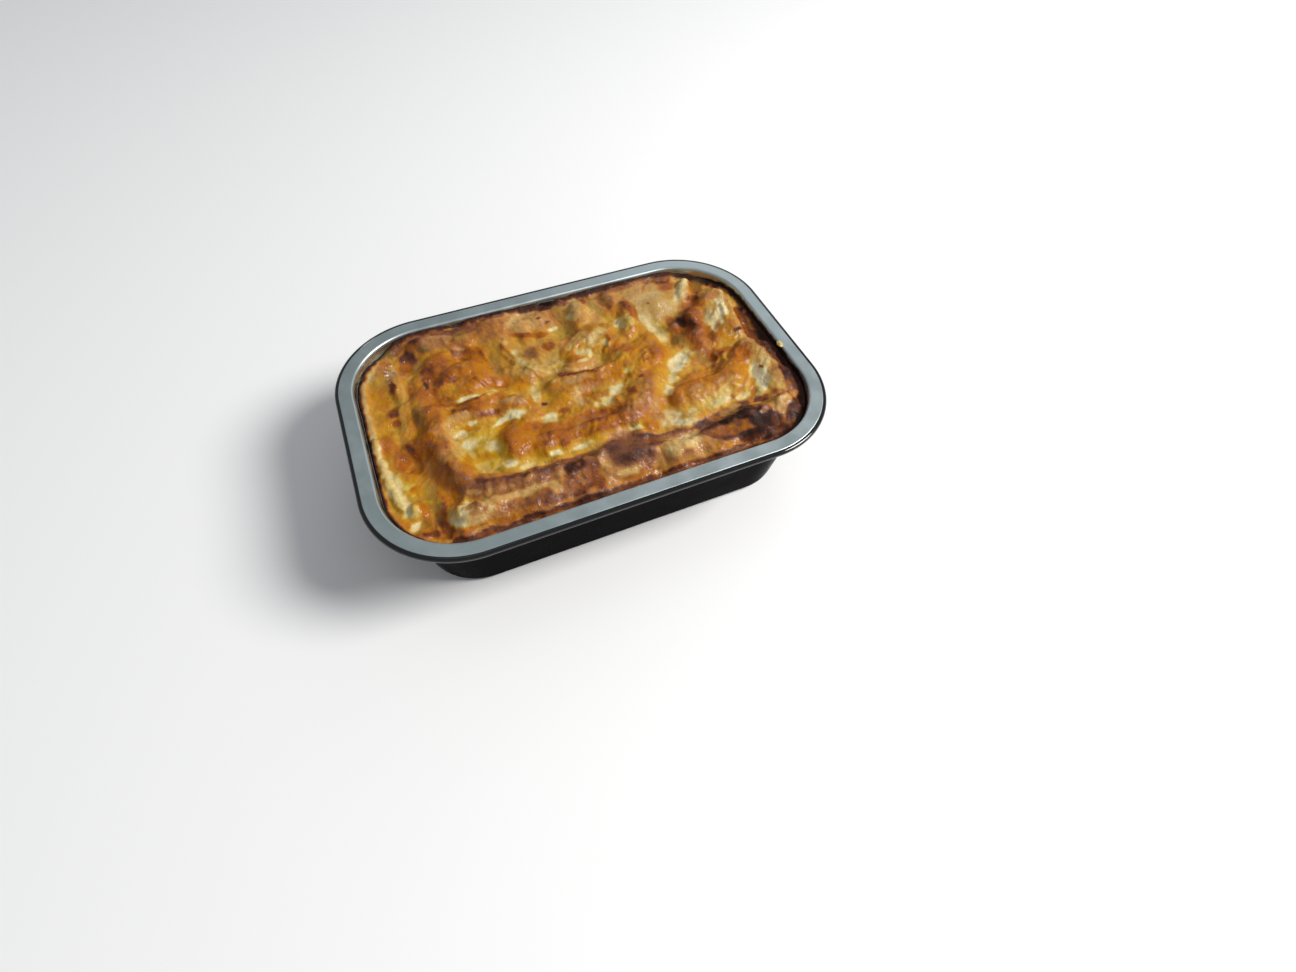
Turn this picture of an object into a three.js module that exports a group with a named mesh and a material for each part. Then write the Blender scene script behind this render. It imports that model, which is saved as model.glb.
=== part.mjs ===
// A ready meal in its foil tray: a smooth-walled foil tray with a flat flange and a rolled edge,
// filled with one baked dish whose cheese crust stands in folds, blisters and hollows.
// Millimetres, +Z up, the long side along X, the origin under the middle of the tray.
import * as THREE from "three";
import { mergeVertices } from "three/addons/utils/BufferGeometryUtils.js";

// ---- tray: driving dimensions
const FLANGE_LENGTH = 225.4; // across the flat flange, without the rolled edge
const FLANGE_BREADTH = 151.2;
const FLANGE_CORNER = 44.2; // corner radius of the flat flange's outer edge
const FLANGE_WIDTH = 7.2; // from that edge in to the bend at the top of the wall
const TRAY_HEIGHT = 52; // top of the flange above the table
const WALL_TAPER = THREE.MathUtils.degToRad(11.5);
const FOIL = 0.6; // thickness of the wall, base and flange
const BEAD_RADIUS = 1.4; // the edge rolled under all round the flange
const FOOT_BEND = 3.4; // inner radius between the wall and the base
const FLANGE_BEND = 1.2; // radius of the bend from the wall to the flange's top
const PANEL_INSET = 10; // flat ring that the tray stands on, round a shallow raised panel
const PANEL_RISE = 1.2;

// ---- baked dish: driving dimensions
const GAP = 0.35; // clearance between the dish and the foil
const BED = -8.5; // level of the crust between its folds, from the flange's top
const SAUCE_RISE = 2.6; // how high the sauce stands in the beds, where nothing else does
const EDGE_LEVEL = -4.5; // usual level where the crust meets the wall
const EDGE_FADE = 2; // how far in from the wall that level is felt
const CRUST_STEP = 2.75; // distance between the rows of the crust's mesh
const BLEND = 4; // how firmly the higher of two crossing forms wins
const FALL_OFF = 1.2; // how low a form has fallen at its stated width
const FALL_POWER = 3; // a higher power makes rounder tops and steeper flanks
const HOLD_REACH = 11; // how far in from the wall a low point still moves in with it

// ---- mesh density of the plain surfaces
const CORNER_STEP = 6.5; // longest facet round a corner
const PLAIN_SIDE = 1000; // a straight side is one facet
const BEND_STEPS = 3;
const BEAD_STEPS = 9;
const BASE_CORNERS = 3; // corners of the section before the bend at the foot of the wall
const TINY = 1e-6; // a length below this counts as none
const WELD = 1e-3; // points closer than this become one

// Folds of the crust. Each runs through points [x, y, rise above the bed] and falls away over
// `left` and `right` millimetres on its two sides, as seen walking along the points.
const FOLDS = [
  { name: "long roll, left part", left: 6, right: 11,
    through: [[-71, 9, 7], [-73, -5, 8], [-71, -22, 8.5], [-65, -36, 9], [-54, -43, 9.5],
      [-38, -46, 9.5]] },
  { name: "long roll, middle", left: 6, right: 13,
    through: [[-38, -46, 9.5], [-20, -48, 9.5], [-4, -49, 9.5], [12, -51, 8], [26, -54, 8]] },
  { name: "long roll, right part", left: 6, right: 12,
    through: [[26, -54, 8], [42, -53, 8.5], [56, -51, 9.5], [72, -50, 9]] },
  { name: "shoulder of the long roll", left: 6, right: 13,
    through: [[-73, -57, 7], [-66, -53, 9], [-50, -54, 8], [-28, -57, 7.5], [-10, -59, 6.5]] },
  { name: "left shoulder", left: 8, right: 7,
    through: [[-76, 10, 6], [-77, 22, 5.5], [-73, 34, 6], [-66, 42, 6.5]] },
  { name: "middle fold, left", left: 4.5, right: 11,
    through: [[-70, 6, 7], [-56, 8, 7.5], [-44, 9, 8], [-34, 4, 7], [-28, -3, 4.5]] },
  { name: "middle fold, right", left: 4.5, right: 10,
    through: [[-11, 9, 5.5], [0, 7, 6.5], [10, 6, 7], [21, 7, 7], [31, 11, 7]] },
  { name: "inner fold, left part", left: 5, right: 10,
    through: [[-42, -22, 8], [-30, -25, 6.5], [-8, -26, 6.5], [10, -24, 6.5], [18, -21, 7]] },
  { name: "inner fold, right part", left: 13, right: 10,
    through: [[18, -21, 7], [24, -17, 7.5], [31, -8, 7.5], [38, 2, 7.5], [44, 13, 7]] },
  { name: "lower right fold", left: 5, right: 12,
    through: [[44, -21, 6], [56, -20, 7], [68, -19, 7], [79, -12, 6.5], [88, -3, 6.5]] },
  { name: "slanting fold", left: 13, right: 9,
    through: [[2, 17, 3.5], [8, 25, 5], [16, 31, 6], [25, 36, 6]] },
  { name: "upright fold", left: 6, right: 4,
    through: [[37, 27, 6.5], [41, 37, 7], [43, 49, 6.5]] },
  { name: "right bank", left: 14, right: 10,
    through: [[87, 10, 6], [91, 24, 7], [92, 38, 7]] },
  { name: "right bank, near end", left: 12, right: 8,
    through: [[95, -38, 6.5], [96, -22, 7], [95.5, -6, 6.5]] },
  { name: "strand beside the left wall", left: 5, right: 4,
    through: [[-87, -2, 4], [-85, 16, 4.5], [-84, 32, 4.5], [-86, 48, 4]] },
  { name: "pale lip on the left wall", left: 3, right: 3,
    through: [[-97, -38, 4], [-101, -20, 5], [-102, 0, 4.5], [-102, 20, 4], [-101, 44, 4.5]] },
];

// Mounds of the crust: centre, half-sizes along and across, turn in degrees, rise above the bed.
const MOUNDS = [
  { name: "burnt bubble", at: [3, -49.5], size: [15, 12.5], turn: 0, rise: 10.5 },
  { name: "burnt lump", at: [68, -51], size: [15, 10], turn: 8, rise: 10.5 },
  { name: "tip of the long roll", at: [-71, -54], size: [9, 8], turn: 0, rise: 9 },
  { name: "near right lump", at: [87, -49], size: [11, 10], turn: 25, rise: 9 },
  { name: "browned dome", at: [-40, -22], size: [10, 12], turn: 0, rise: 8.5 },
  { name: "orange heap", at: [-54, 29], size: [18, 17], turn: 15, rise: 8 },
  { name: "orange heap, far end", at: [-62, 43], size: [10, 10], turn: 0, rise: 8 },
  { name: "golden plateau", at: [34, 16], size: [18, 17], turn: 30, rise: 7 },
  { name: "brown heap", at: [73, 29], size: [10, 8], turn: 20, rise: 7.5 },
  { name: "brown slope", at: [70, 14], size: [9, 10], turn: 0, rise: 5 },
  { name: "far left mound", at: [-64, 60], size: [14, 10], turn: 0, rise: 8 },
  { name: "far middle mound", at: [-30, 59], size: [15, 10], turn: 0, rise: 7 },
  { name: "far ridge", at: [-16, 53], size: [6, 13], turn: 5, rise: 6.5 },
  { name: "pale ridge", at: [17, 55], size: [7, 13], turn: -10, rise: 7 },
  { name: "low far mound", at: [36, 60], size: [9, 8], turn: 0, rise: 6.5 },
  { name: "far shelf, left", at: [-40, 62], size: [42, 18], turn: 0, rise: 5.8 },
  { name: "far shelf, right", at: [35, 62], size: [52, 17], turn: 0, rise: 5.2 },
  { name: "smooth sauce", at: [60, 53], size: [20, 15], turn: 0, rise: 6.5 },
  { name: "slanting pale ridge", at: [80, 52], size: [5, 12], turn: -25, rise: 7.5 },
  { name: "pale curd", at: [-91, -41], size: [5, 6], turn: 0, rise: 5 },
  { name: "lower curd", at: [-92, -54], size: [4, 4], turn: 0, rise: 4 },
];

// Hollows of the crust: centre, half-sizes, turn in degrees, depth below what surrounds them.
const HOLLOWS = [
  { name: "burnt hole", at: [67, 24], size: [4.5, 7], turn: 0, depth: 4.5 },
  { name: "shaded dip behind the brown heap", at: [81, 42], size: [5, 5], turn: 0, depth: 2.5 },
  { name: "brown dip, far left", at: [-75, 52], size: [6, 9], turn: 0, depth: 3 },
  { name: "small dip, far left", at: [-50, 46], size: [5, 5], turn: 0, depth: 2.5 },
  { name: "dip beside the long roll", at: [-89, -13], size: [4, 9], turn: 12, depth: 2.5 },
  { name: "near left corner", at: [-86, -48], size: [5, 11], turn: 0, depth: 1.5 },
  { name: "pool in the middle", at: [-20, 6], size: [6, 10], turn: 0, depth: 1.2 },
  { name: "dip behind the slanting fold", at: [3, 45], size: [7, 7], turn: 0, depth: 2.5 },
  { name: "pale valley", at: [53, 21], size: [6, 14], turn: -18, depth: 2.5 },
  { name: "pale pool", at: [53, -2], size: [9, 8], turn: 35, depth: 2 },
  { name: "brown pocket", at: [69, -2], size: [7, 8], turn: 0, depth: 3 },
  { name: "bowl in the burnt lump", at: [52, -53], size: [8, 5], turn: -30, depth: 2 },
];

// Where the crust climbs the wall or falls short of its usual level there.
const EDGE_MARKS = [
  { name: "far side, left", at: [-48, 72], size: [52, 22], turn: 0, rise: 3.8 },
  { name: "far side, right", at: [46, 74], size: [50, 16], turn: 0, rise: 3.4 },
  { name: "notch beside the far left mound", at: [-48, 70], size: [6, 12], turn: 0, rise: -2.5 },
  { name: "narrow notch", at: [3, 70], size: [4, 12], turn: 0, rise: -1.8 },
  { name: "far left corner", at: [-91, 64], size: [10, 8], turn: 40, rise: -2.6 },
  { name: "right side", at: [108, 5], size: [14, 60], turn: 0, rise: 1.4 },
];

// Where the bake shrank from the wall while it cooled: a groove along the right-hand side.
const SHRINK_GROOVE = {
  name: "shrink groove", left: 3, right: 3,
  through: [[78, -69, 2], [90, -66, 4], [98.5, -60, 7], [104.5, -51.5, 7], [106.5, -40, 4],
    [106, -22, 2], [106, 20, 2], [105.5, 36, 3], [103, 50, 5], [95, 61, 6], [84, 68, 3]],
};

// Low, irregular swell over the whole crust.
const SWELL = { seed: 7, waves: 9, shortest: 9, longest: 26, height: 0.34 };

// ---------------------------------------------------------------- outline and mesh helpers

// Points from a to b, both included.
function straight(a, b, step) {
  const length = Math.hypot(b[0] - a[0], b[1] - a[1]);
  const count = length < TINY ? 0 : Math.max(1, Math.round(length / step));
  const points = [a];
  for (let k = 1; k <= count; k++) {
    points.push([a[0] + ((b[0] - a[0]) * k) / count, a[1] + ((b[1] - a[1]) * k) / count]);
  }
  return points;
}

function quarterArc(centre, radius, quarter, step) {
  const count = radius < TINY ? 0 : Math.max(1, Math.round((radius * Math.PI) / 2 / step));
  const points = [];
  for (let k = 0; k <= count; k++) {
    const angle = (quarter + (count ? k / count : 0)) * (Math.PI / 2);
    points.push([centre[0] + radius * Math.cos(angle), centre[1] + radius * Math.sin(angle)]);
  }
  return points;
}

// The flange's outline moved inwards by `inset`: four sides and four corners, counter-clockwise.
function outline(inset, sideStep, cornerStep) {
  const radius = Math.max(0, FLANGE_CORNER - inset);
  const x = FLANGE_LENGTH / 2 - inset - radius;
  const y = Math.max(0, FLANGE_BREADTH / 2 - inset - radius);
  const centres = [[x, y], [-x, y], [-x, -y], [x, -y]];
  const arcs = centres.map((centre, quarter) => quarterArc(centre, radius, quarter, cornerStep));
  return arcs.flatMap((arc, quarter) => {
    const before = arcs[(quarter + 3) % 4];
    return [straight(before.at(-1), arc[0], sideStep), arc];
  });
}

function plainRing(inset, height) {
  const level = outline(inset, PLAIN_SIDE, CORNER_STEP);
  return level.map((part) => part.map(([x, y]) => [x, y, height]));
}

// Fills the strip between two rows of points that may differ in number.
function stitch(row, next, triangles) {
  const rowSteps = row.length - 1;
  const nextSteps = next.length - 1;
  let i = 0;
  let j = 0;
  while (i < rowSteps || j < nextSteps) {
    const rowLags = (2 * i + 1) * nextSteps <= (2 * j + 1) * rowSteps;
    if (j === nextSteps || (i < rowSteps && rowLags)) {
      triangles.push(row[i], row[i + 1], next[j]);
      i++;
    } else {
      triangles.push(row[i], next[j + 1], next[j]);
      j++;
    }
  }
}

// A closed body from rings that run from the middle of its underside, out, up and in again.
function bodyFromRings(rings) {
  const triangles = [];
  for (let k = 0; k + 1 < rings.length; k++) {
    rings[k].forEach((part, side) => stitch(part, rings[k + 1][side], triangles));
  }
  const geometry = new THREE.BufferGeometry();
  geometry.setAttribute("position", new THREE.Float32BufferAttribute(triangles.flat(), 3));
  return mergeVertices(geometry, WELD);
}

// ---------------------------------------------------------------- the tray's section

// Corners of the foil's upper face, from the middle of the base out to the flange's edge,
// as x = inset from that edge and y = height.
function trayPath() {
  const slope = Math.tan(WALL_TAPER);
  const footInset = FLANGE_WIDTH + (TRAY_HEIGHT - FOIL) * slope;
  const panelInset = footInset + PANEL_INSET;
  const corners = [
    [FLANGE_BREADTH / 2, FOIL + PANEL_RISE, 0],
    [panelInset + PANEL_RISE, FOIL + PANEL_RISE, 0],
    [panelInset, FOIL, 0],
    [footInset, FOIL, FOOT_BEND],
    [FLANGE_WIDTH, TRAY_HEIGHT, FLANGE_BEND],
    [0, TRAY_HEIGHT, 0],
  ];
  return corners.map(([inset, height, radius]) => (
    { at: new THREE.Vector2(inset, height), radius }));
}

const heading = (from, to) => to.at.clone().sub(from.at).normalize();

// The same path moved towards the food by `distance`, with mitred corners.
function offsetPath(path, distance) {
  return path.map((corner, k) => {
    const before = k > 0 ? heading(path[k - 1], corner) : heading(corner, path[k + 1]);
    const after = k + 1 < path.length ? heading(corner, path[k + 1]) : before;
    const normalBefore = new THREE.Vector2(before.y, -before.x);
    const normalAfter = new THREE.Vector2(after.y, -after.x);
    const mitre = normalBefore.clone().add(normalAfter);
    mitre.divideScalar(1 + normalBefore.dot(normalAfter));
    const radius = corner.radius ? corner.radius + distance * Math.sign(before.cross(after)) : 0;
    return { at: corner.at.clone().addScaledVector(mitre, distance), radius };
  });
}

// The path as points [inset, height], with each rounded corner as short equal chords.
function roundedPoints(path, steps) {
  return path.flatMap((corner, k) => {
    if (!corner.radius) return [[corner.at.x, corner.at.y]];
    const before = heading(path[k - 1], corner);
    const after = heading(corner, path[k + 1]);
    const turn = Math.atan2(before.cross(after), before.dot(after));
    const chord = 2 * corner.radius * Math.sin(Math.abs(turn) / (2 * steps));
    const setback = corner.radius * Math.tan(Math.abs(turn) / 2);
    const point = corner.at.clone().addScaledVector(before, -setback);
    const points = [[point.x, point.y]];
    for (let n = 0; n < steps; n++) {
      const angle = before.angle() + (turn * (n + 0.5)) / steps;
      point.x += chord * Math.cos(angle);
      point.y += chord * Math.sin(angle);
      points.push([point.x, point.y]);
    }
    return points;
  });
}

// The rolled edge, from where it leaves the flange's underside round to the flange's top.
function beadPoints() {
  const start = Math.asin((BEAD_RADIUS - FOIL) / BEAD_RADIUS);
  const sweep = start + 1.5 * Math.PI;
  const points = [];
  for (let k = 0; k <= BEAD_STEPS; k++) {
    const angle = start - (sweep * k) / BEAD_STEPS;
    const height = TRAY_HEIGHT - BEAD_RADIUS + BEAD_RADIUS * Math.sin(angle);
    points.push([BEAD_RADIUS * Math.cos(angle), height]);
  }
  return points;
}

function trayGeometry() {
  const upper = trayPath();
  const under = roundedPoints(offsetPath(upper, -FOIL), BEND_STEPS).slice(0, -1);
  const inside = roundedPoints(upper, BEND_STEPS).slice(0, -1).reverse();
  const section = [...under, ...beadPoints(), ...inside];
  return bodyFromRings(section.map(([inset, height]) => plainRing(inset, height)));
}

// ---------------------------------------------------------------- the crust's relief

// Share of a form's rise that is left at a distance given in its widths.
const fallOff = (distance) => Math.exp(-FALL_OFF * distance ** FALL_POWER);

// Rise of a fold at a place, from the nearest point of its path.
function foldAt(fold, x, y) {
  let nearest = { distance: Infinity };
  for (let k = 0; k + 1 < fold.through.length; k++) {
    const [ax, ay, aRise] = fold.through[k];
    const [bx, by, bRise] = fold.through[k + 1];
    const [dx, dy] = [bx - ax, by - ay];
    const share = THREE.MathUtils.clamp(((x - ax) * dx + (y - ay) * dy) / (dx * dx + dy * dy), 0, 1);
    const [ox, oy] = [x - ax - share * dx, y - ay - share * dy];
    const distance = Math.hypot(ox, oy);
    if (distance < nearest.distance) {
      const side = (dx * oy - dy * ox) / (Math.hypot(dx, dy) * distance + TINY);
      nearest = { distance, side, rise: aRise + share * (bRise - aRise) };
    }
  }
  const width = fold.right + (fold.left - fold.right) * (0.5 + 0.5 * nearest.side);
  return nearest.rise * fallOff(nearest.distance / width);
}

// 1 at the middle of a mound or hollow, falling to nothing past its edge.
function moundShare({ at, size, turn }, x, y) {
  const angle = THREE.MathUtils.degToRad(turn);
  const along = (x - at[0]) * Math.cos(angle) + (y - at[1]) * Math.sin(angle);
  const across = (y - at[1]) * Math.cos(angle) - (x - at[0]) * Math.sin(angle);
  return fallOff(Math.hypot(along / size[0], across / size[1]));
}

// Numbers spread evenly between 0 and 1 from a seed, by the minimal standard generator.
const DRAW_FACTOR = 16807;
const DRAW_MODULUS = 2 ** 31 - 1;

function seededDraw(seed) {
  let state = seed;
  return () => {
    state = (state * DRAW_FACTOR) % DRAW_MODULUS;
    return state / DRAW_MODULUS;
  };
}

function swellWaves({ seed, waves, shortest, longest, height }) {
  const draw = seededDraw(seed);
  return Array.from({ length: waves }, () => {
    const direction = draw() * 2 * Math.PI;
    const perMm = (2 * Math.PI) / (shortest + (longest - shortest) * draw());
    const phase = draw() * 2 * Math.PI;
    return { kx: perMm * Math.cos(direction), ky: perMm * Math.sin(direction), phase, height };
  });
}

const WAVES = swellWaves(SWELL);

// Height of the crust over the table at a place `fromWall` millimetres in from the wall.
function crustHeight(x, y, fromWall) {
  const rises = [SAUCE_RISE, ...FOLDS.map((fold) => foldAt(fold, x, y)),
    ...MOUNDS.map((mound) => mound.rise * moundShare(mound, x, y))];
  const rise = rises.reduce((sum, value) => sum + value ** BLEND, 0) ** (1 / BLEND);
  const dip = HOLLOWS.reduce((sum, hollow) => sum + hollow.depth * moundShare(hollow, x, y), 0);
  const swell = WAVES.reduce((sum, wave) =>
    sum + wave.height * Math.sin(wave.kx * x + wave.ky * y + wave.phase), 0);
  const open = BED + rise - dip + swell - foldAt(SHRINK_GROOVE, x, y);
  const edge = EDGE_LEVEL
    + EDGE_MARKS.reduce((sum, mark) => sum + mark.rise * moundShare(mark, x, y), 0);
  return TRAY_HEIGHT + THREE.MathUtils.lerp(open, edge, Math.exp(-((fromWall / EDGE_FADE) ** 2)));
}

// ---------------------------------------------------------------- the baked dish

const wallInset = (height) =>
  FLANGE_WIDTH + (TRAY_HEIGHT - height) * Math.tan(WALL_TAPER) + GAP / Math.cos(WALL_TAPER);

// One row of the crust. Near the wall a low point also moves in, because the wall leans in.
function crustRing(fromWall) {
  const level = TRAY_HEIGHT + EDGE_LEVEL;
  const inset = Math.min(wallInset(level) + fromWall, FLANGE_BREADTH / 2);
  const hold = Math.max(0, 1 - fromWall / HOLD_REACH);
  const reachX = FLANGE_LENGTH / 2 - inset;
  const reachY = Math.max(TINY, FLANGE_BREADTH / 2 - inset);
  return outline(inset, CRUST_STEP, CRUST_STEP).map((part) => part.map(([x, y]) => {
    const height = crustHeight(x, y, fromWall);
    const pull = (level - height) * Math.tan(WALL_TAPER) * hold;
    return [x * (1 - pull / reachX), y * (1 - pull / reachY), height];
  }));
}

// How far each row of the crust is from the wall: closer together beside it, last the middle line.
function crustRows() {
  const depth = FLANGE_BREADTH / 2 - wallInset(TRAY_HEIGHT + EDGE_LEVEL) - CRUST_STEP;
  const count = Math.round(depth / CRUST_STEP);
  const even = Array.from({ length: count + 1 }, (_, k) => CRUST_STEP + (depth * k) / count);
  return [0, CRUST_STEP / 2, ...even];
}

function bakeGeometry() {
  const section = roundedPoints(offsetPath(trayPath(), GAP), BEND_STEPS);
  const underside = section.slice(0, BASE_CORNERS + BEND_STEPS + 1);
  const base = underside.map(([inset, height]) => plainRing(inset, height));
  return bodyFromRings([...base, ...crustRows().map(crustRing)]);
}

// ---------------------------------------------------------------- materials and assembly

const foil = () => new THREE.MeshStandardMaterial({ color: 0xa9b0b0, roughness: 0.35, metalness: 1 });
const crust = () => new THREE.MeshStandardMaterial({ color: 0xc48a3c, roughness: 0.5, metalness: 0 });

function piece(name, geometry, material) {
  const mesh = new THREE.Mesh(geometry, material);
  mesh.name = name;
  return mesh;
}

const meal = new THREE.Group();
meal.add(piece("tray", trayGeometry(), foil()));
meal.add(piece("bake", bakeGeometry(), crust()));

export default meal;
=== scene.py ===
# %% [markdown]
# # A baked dish in its foil tray
# A ready meal: a smooth-walled foil tray, silver inside and black outside, filled to the rim
# with a dish whose cheese crust stands in folds, blisters and hollows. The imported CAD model
# gives the places and sizes. Everything here is made around it, in metres, with code.

# %% The frame
from math import asin, atan2, cos, degrees, exp, hypot, pi, radians, sin, tan

import bmesh
import bpy
import numpy as np
from mathutils import Matrix, Vector, noise


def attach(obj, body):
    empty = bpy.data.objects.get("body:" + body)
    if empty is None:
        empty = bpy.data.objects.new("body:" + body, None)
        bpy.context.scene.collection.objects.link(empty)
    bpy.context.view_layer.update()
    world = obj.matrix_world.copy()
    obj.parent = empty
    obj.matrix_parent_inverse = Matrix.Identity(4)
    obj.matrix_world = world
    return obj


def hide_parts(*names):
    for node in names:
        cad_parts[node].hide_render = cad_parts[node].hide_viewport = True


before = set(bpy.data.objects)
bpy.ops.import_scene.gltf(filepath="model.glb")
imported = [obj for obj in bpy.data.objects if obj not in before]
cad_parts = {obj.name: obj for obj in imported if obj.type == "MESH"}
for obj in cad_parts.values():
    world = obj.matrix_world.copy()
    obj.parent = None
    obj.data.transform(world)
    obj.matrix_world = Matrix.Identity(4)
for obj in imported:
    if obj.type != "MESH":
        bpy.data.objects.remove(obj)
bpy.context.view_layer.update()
MM = 0.001

# %% [markdown]
# ## The camera
# The meal is seen from above its near left corner, as a diner sees it before sitting down,
# with a wide lens held close. A camera's matrix holds the directions of its right, its up and
# its back as columns, so those three are worked out from the two viewing angles and the roll.

# %% Camera place and direction
CAMERA_AT = (-67.956, -223.854, 288.502)  # mm, from the middle of the tray's underside
CAMERA_AZIMUTH = radians(-25.3568)
CAMERA_ELEVATION = radians(54.3329)
CAMERA_ROLL = radians(2.4082)
LENS_MM = 18.344
SENSOR_MM = 36.0
NEAREST_MM = 10  # the camera sees nothing that is closer than this


def camera_matrix(place, azimuth, elevation, roll):
    back = Vector((sin(azimuth) * cos(elevation), -cos(azimuth) * cos(elevation), sin(elevation)))
    level = back.cross(Vector((0, 0, -1))).normalized()
    upright = level.cross(-back)
    right = cos(roll) * level + sin(roll) * upright
    up = -sin(roll) * level + cos(roll) * upright
    turn = Matrix((right, up, back)).transposed().to_4x4()
    return Matrix.Translation(Vector(place) * MM) @ turn


print("Field of view in degrees:", round(2 * degrees(atan2(SENSOR_MM / 2, LENS_MM)), 1))

# %% Put the camera up
lens = bpy.data.cameras.new("diner_camera")
lens.lens = LENS_MM
lens.sensor_width = SENSOR_MM
lens.sensor_fit = "HORIZONTAL"
lens.clip_start = NEAREST_MM * MM
camera = bpy.data.objects.new("diner_camera", lens)
bpy.context.scene.collection.objects.link(camera)
camera.matrix_world = camera_matrix(CAMERA_AT, CAMERA_AZIMUTH, CAMERA_ELEVATION, CAMERA_ROLL)
bpy.context.scene.camera = camera
print("Camera at", tuple(round(v, 4) for v in camera.location))

# %% [markdown]
# ## One outline for every level
# The tray is pressed from one sheet, so each level of it is the flange's rounded rectangle
# moved inwards. The dish fills it and has the same outlines. A ring is kept as eight parts,
# four sides and four corners, and two rings are stitched part by part. They may then differ
# in number of points, which keeps the facets even from the rim to the middle.

# %% The outline in eight parts
FLANGE_LENGTH, FLANGE_BREADTH = 225.4, 151.2
FLANGE_CORNER = 44.2
FLANGE_WIDTH = 7.2
TRAY_HEIGHT = 52.0
WALL_TAPER = radians(11.5)
TINY = 1e-6  # mm; a length below this counts as none


def straight(a, b, step):
    length = hypot(b[0] - a[0], b[1] - a[1])
    count = 0 if length < TINY else max(1, round(length / step))
    return [a] + [(a[0] + (b[0] - a[0]) * k / count, a[1] + (b[1] - a[1]) * k / count)
                  for k in range(1, count + 1)]


def quarter_arc(centre, radius, quarter, step):
    count = 0 if radius < TINY else max(1, round(radius * pi / 2 / step))
    angles = [(quarter + (k / count if count else 0)) * pi / 2 for k in range(count + 1)]
    return [(centre[0] + radius * cos(a), centre[1] + radius * sin(a)) for a in angles]


def outline(inset, side_step, corner_step):
    radius = max(0.0, FLANGE_CORNER - inset)
    x = FLANGE_LENGTH / 2 - inset - radius
    y = max(0.0, FLANGE_BREADTH / 2 - inset - radius)
    centres = [(x, y), (-x, y), (-x, -y), (x, -y)]
    arcs = [quarter_arc(c, radius, q, corner_step) for q, c in enumerate(centres)]
    parts = []
    for q, arc in enumerate(arcs):
        parts += [straight(arcs[q - 1][-1], arc[0], side_step), arc]
    return parts


print("Points in the parts of a coarse flange:", [len(part) for part in outline(0, 20, 10)])

# %% From rings to a body
SAME_POINT = 0.001  # mm; points closer than this become one


def stitch(row, following, faces):
    """Fills the strip between two rows of vertex numbers that may differ in number."""
    i, j, row_steps, next_steps = 0, 0, len(row) - 1, len(following) - 1
    while i < row_steps or j < next_steps:
        row_lags = (2 * i + 1) * next_steps <= (2 * j + 1) * row_steps
        if j == next_steps or (i < row_steps and row_lags):
            faces.append((row[i], row[i + 1], following[j]))
            i += 1
        else:
            faces.append((row[i], following[j + 1], following[j]))
            j += 1


def body_from_rings(name, rings):
    """A closed mesh object from rings in mm, each eight parts of [x, y, z] points."""
    points, faces, numbered = [], [], []
    for ring in rings:
        parts = []
        for part in ring:
            parts.append(list(range(len(points), len(points) + len(part))))
            points.extend(part)
        numbered.append(parts)
    for ring, following in zip(numbered[:-1], numbered[1:]):
        for part, next_part in zip(ring, following):
            stitch(part, next_part, faces)
    mesh = bpy.data.meshes.new(name)
    mesh.from_pydata([tuple(c * MM for c in p) for p in points], [], faces)
    work = bmesh.new()
    work.from_mesh(mesh)
    bmesh.ops.remove_doubles(work, verts=work.verts, dist=SAME_POINT * MM)
    work.to_mesh(mesh)
    work.free()
    mesh.shade_smooth()
    piece = bpy.data.objects.new(name, mesh)
    bpy.context.scene.collection.objects.link(piece)
    print(f"{name}: {len(mesh.vertices)} vertices, {len(mesh.polygons)} triangles")
    return piece


# %% [markdown]
# ## The tray's section
# A section is a path of corners, each a distance in from the flange's edge, a height and a
# bend radius. Moving the whole path sideways gives the other face of the foil, and a little
# further the surface of the dish, so that tray and dish always fit each other.

# %% The tray's section
FOIL = 0.6  # as in the CAD solid; real foil is thinner
BEAD_RADIUS = 1.4
FOOT_BEND, FLANGE_BEND = 3.4, 1.2
PANEL_INSET, PANEL_RISE = 10.0, 1.2


def tray_path(edge=0):
    foot = FLANGE_WIDTH + (TRAY_HEIGHT - FOIL) * tan(WALL_TAPER)
    panel = foot + PANEL_INSET
    return [(FLANGE_BREADTH / 2, FOIL + PANEL_RISE, 0), (panel + PANEL_RISE, FOIL + PANEL_RISE, 0),
            (panel, FOIL, 0), (foot, FOIL, FOOT_BEND), (FLANGE_WIDTH, TRAY_HEIGHT, FLANGE_BEND),
            (edge, TRAY_HEIGHT, 0)]


print("Foot of the wall, in from the edge:", round(tray_path()[3][0], 1), "mm")

# %% Moving and rounding a path
def heading(a, b):
    return Vector((b[0] - a[0], b[1] - a[1])).normalized()


def cross2(a, b):
    return a.x * b.y - a.y * b.x


def offset_path(path, distance):
    """The path moved towards the food, with mitred corners."""
    moved = []
    for k, corner in enumerate(path):
        before = heading(path[k - 1], corner) if k else heading(corner, path[k + 1])
        after = heading(corner, path[k + 1]) if k + 1 < len(path) else before
        normals = Vector((before.y, -before.x)), Vector((after.y, -after.x))
        mitre = (normals[0] + normals[1]) / (1 + normals[0].dot(normals[1]))
        side = 1 if cross2(before, after) > 0 else -1
        radius = corner[2] + distance * side if corner[2] else 0
        moved.append((corner[0] + mitre.x * distance, corner[1] + mitre.y * distance, radius))
    return moved


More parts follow.
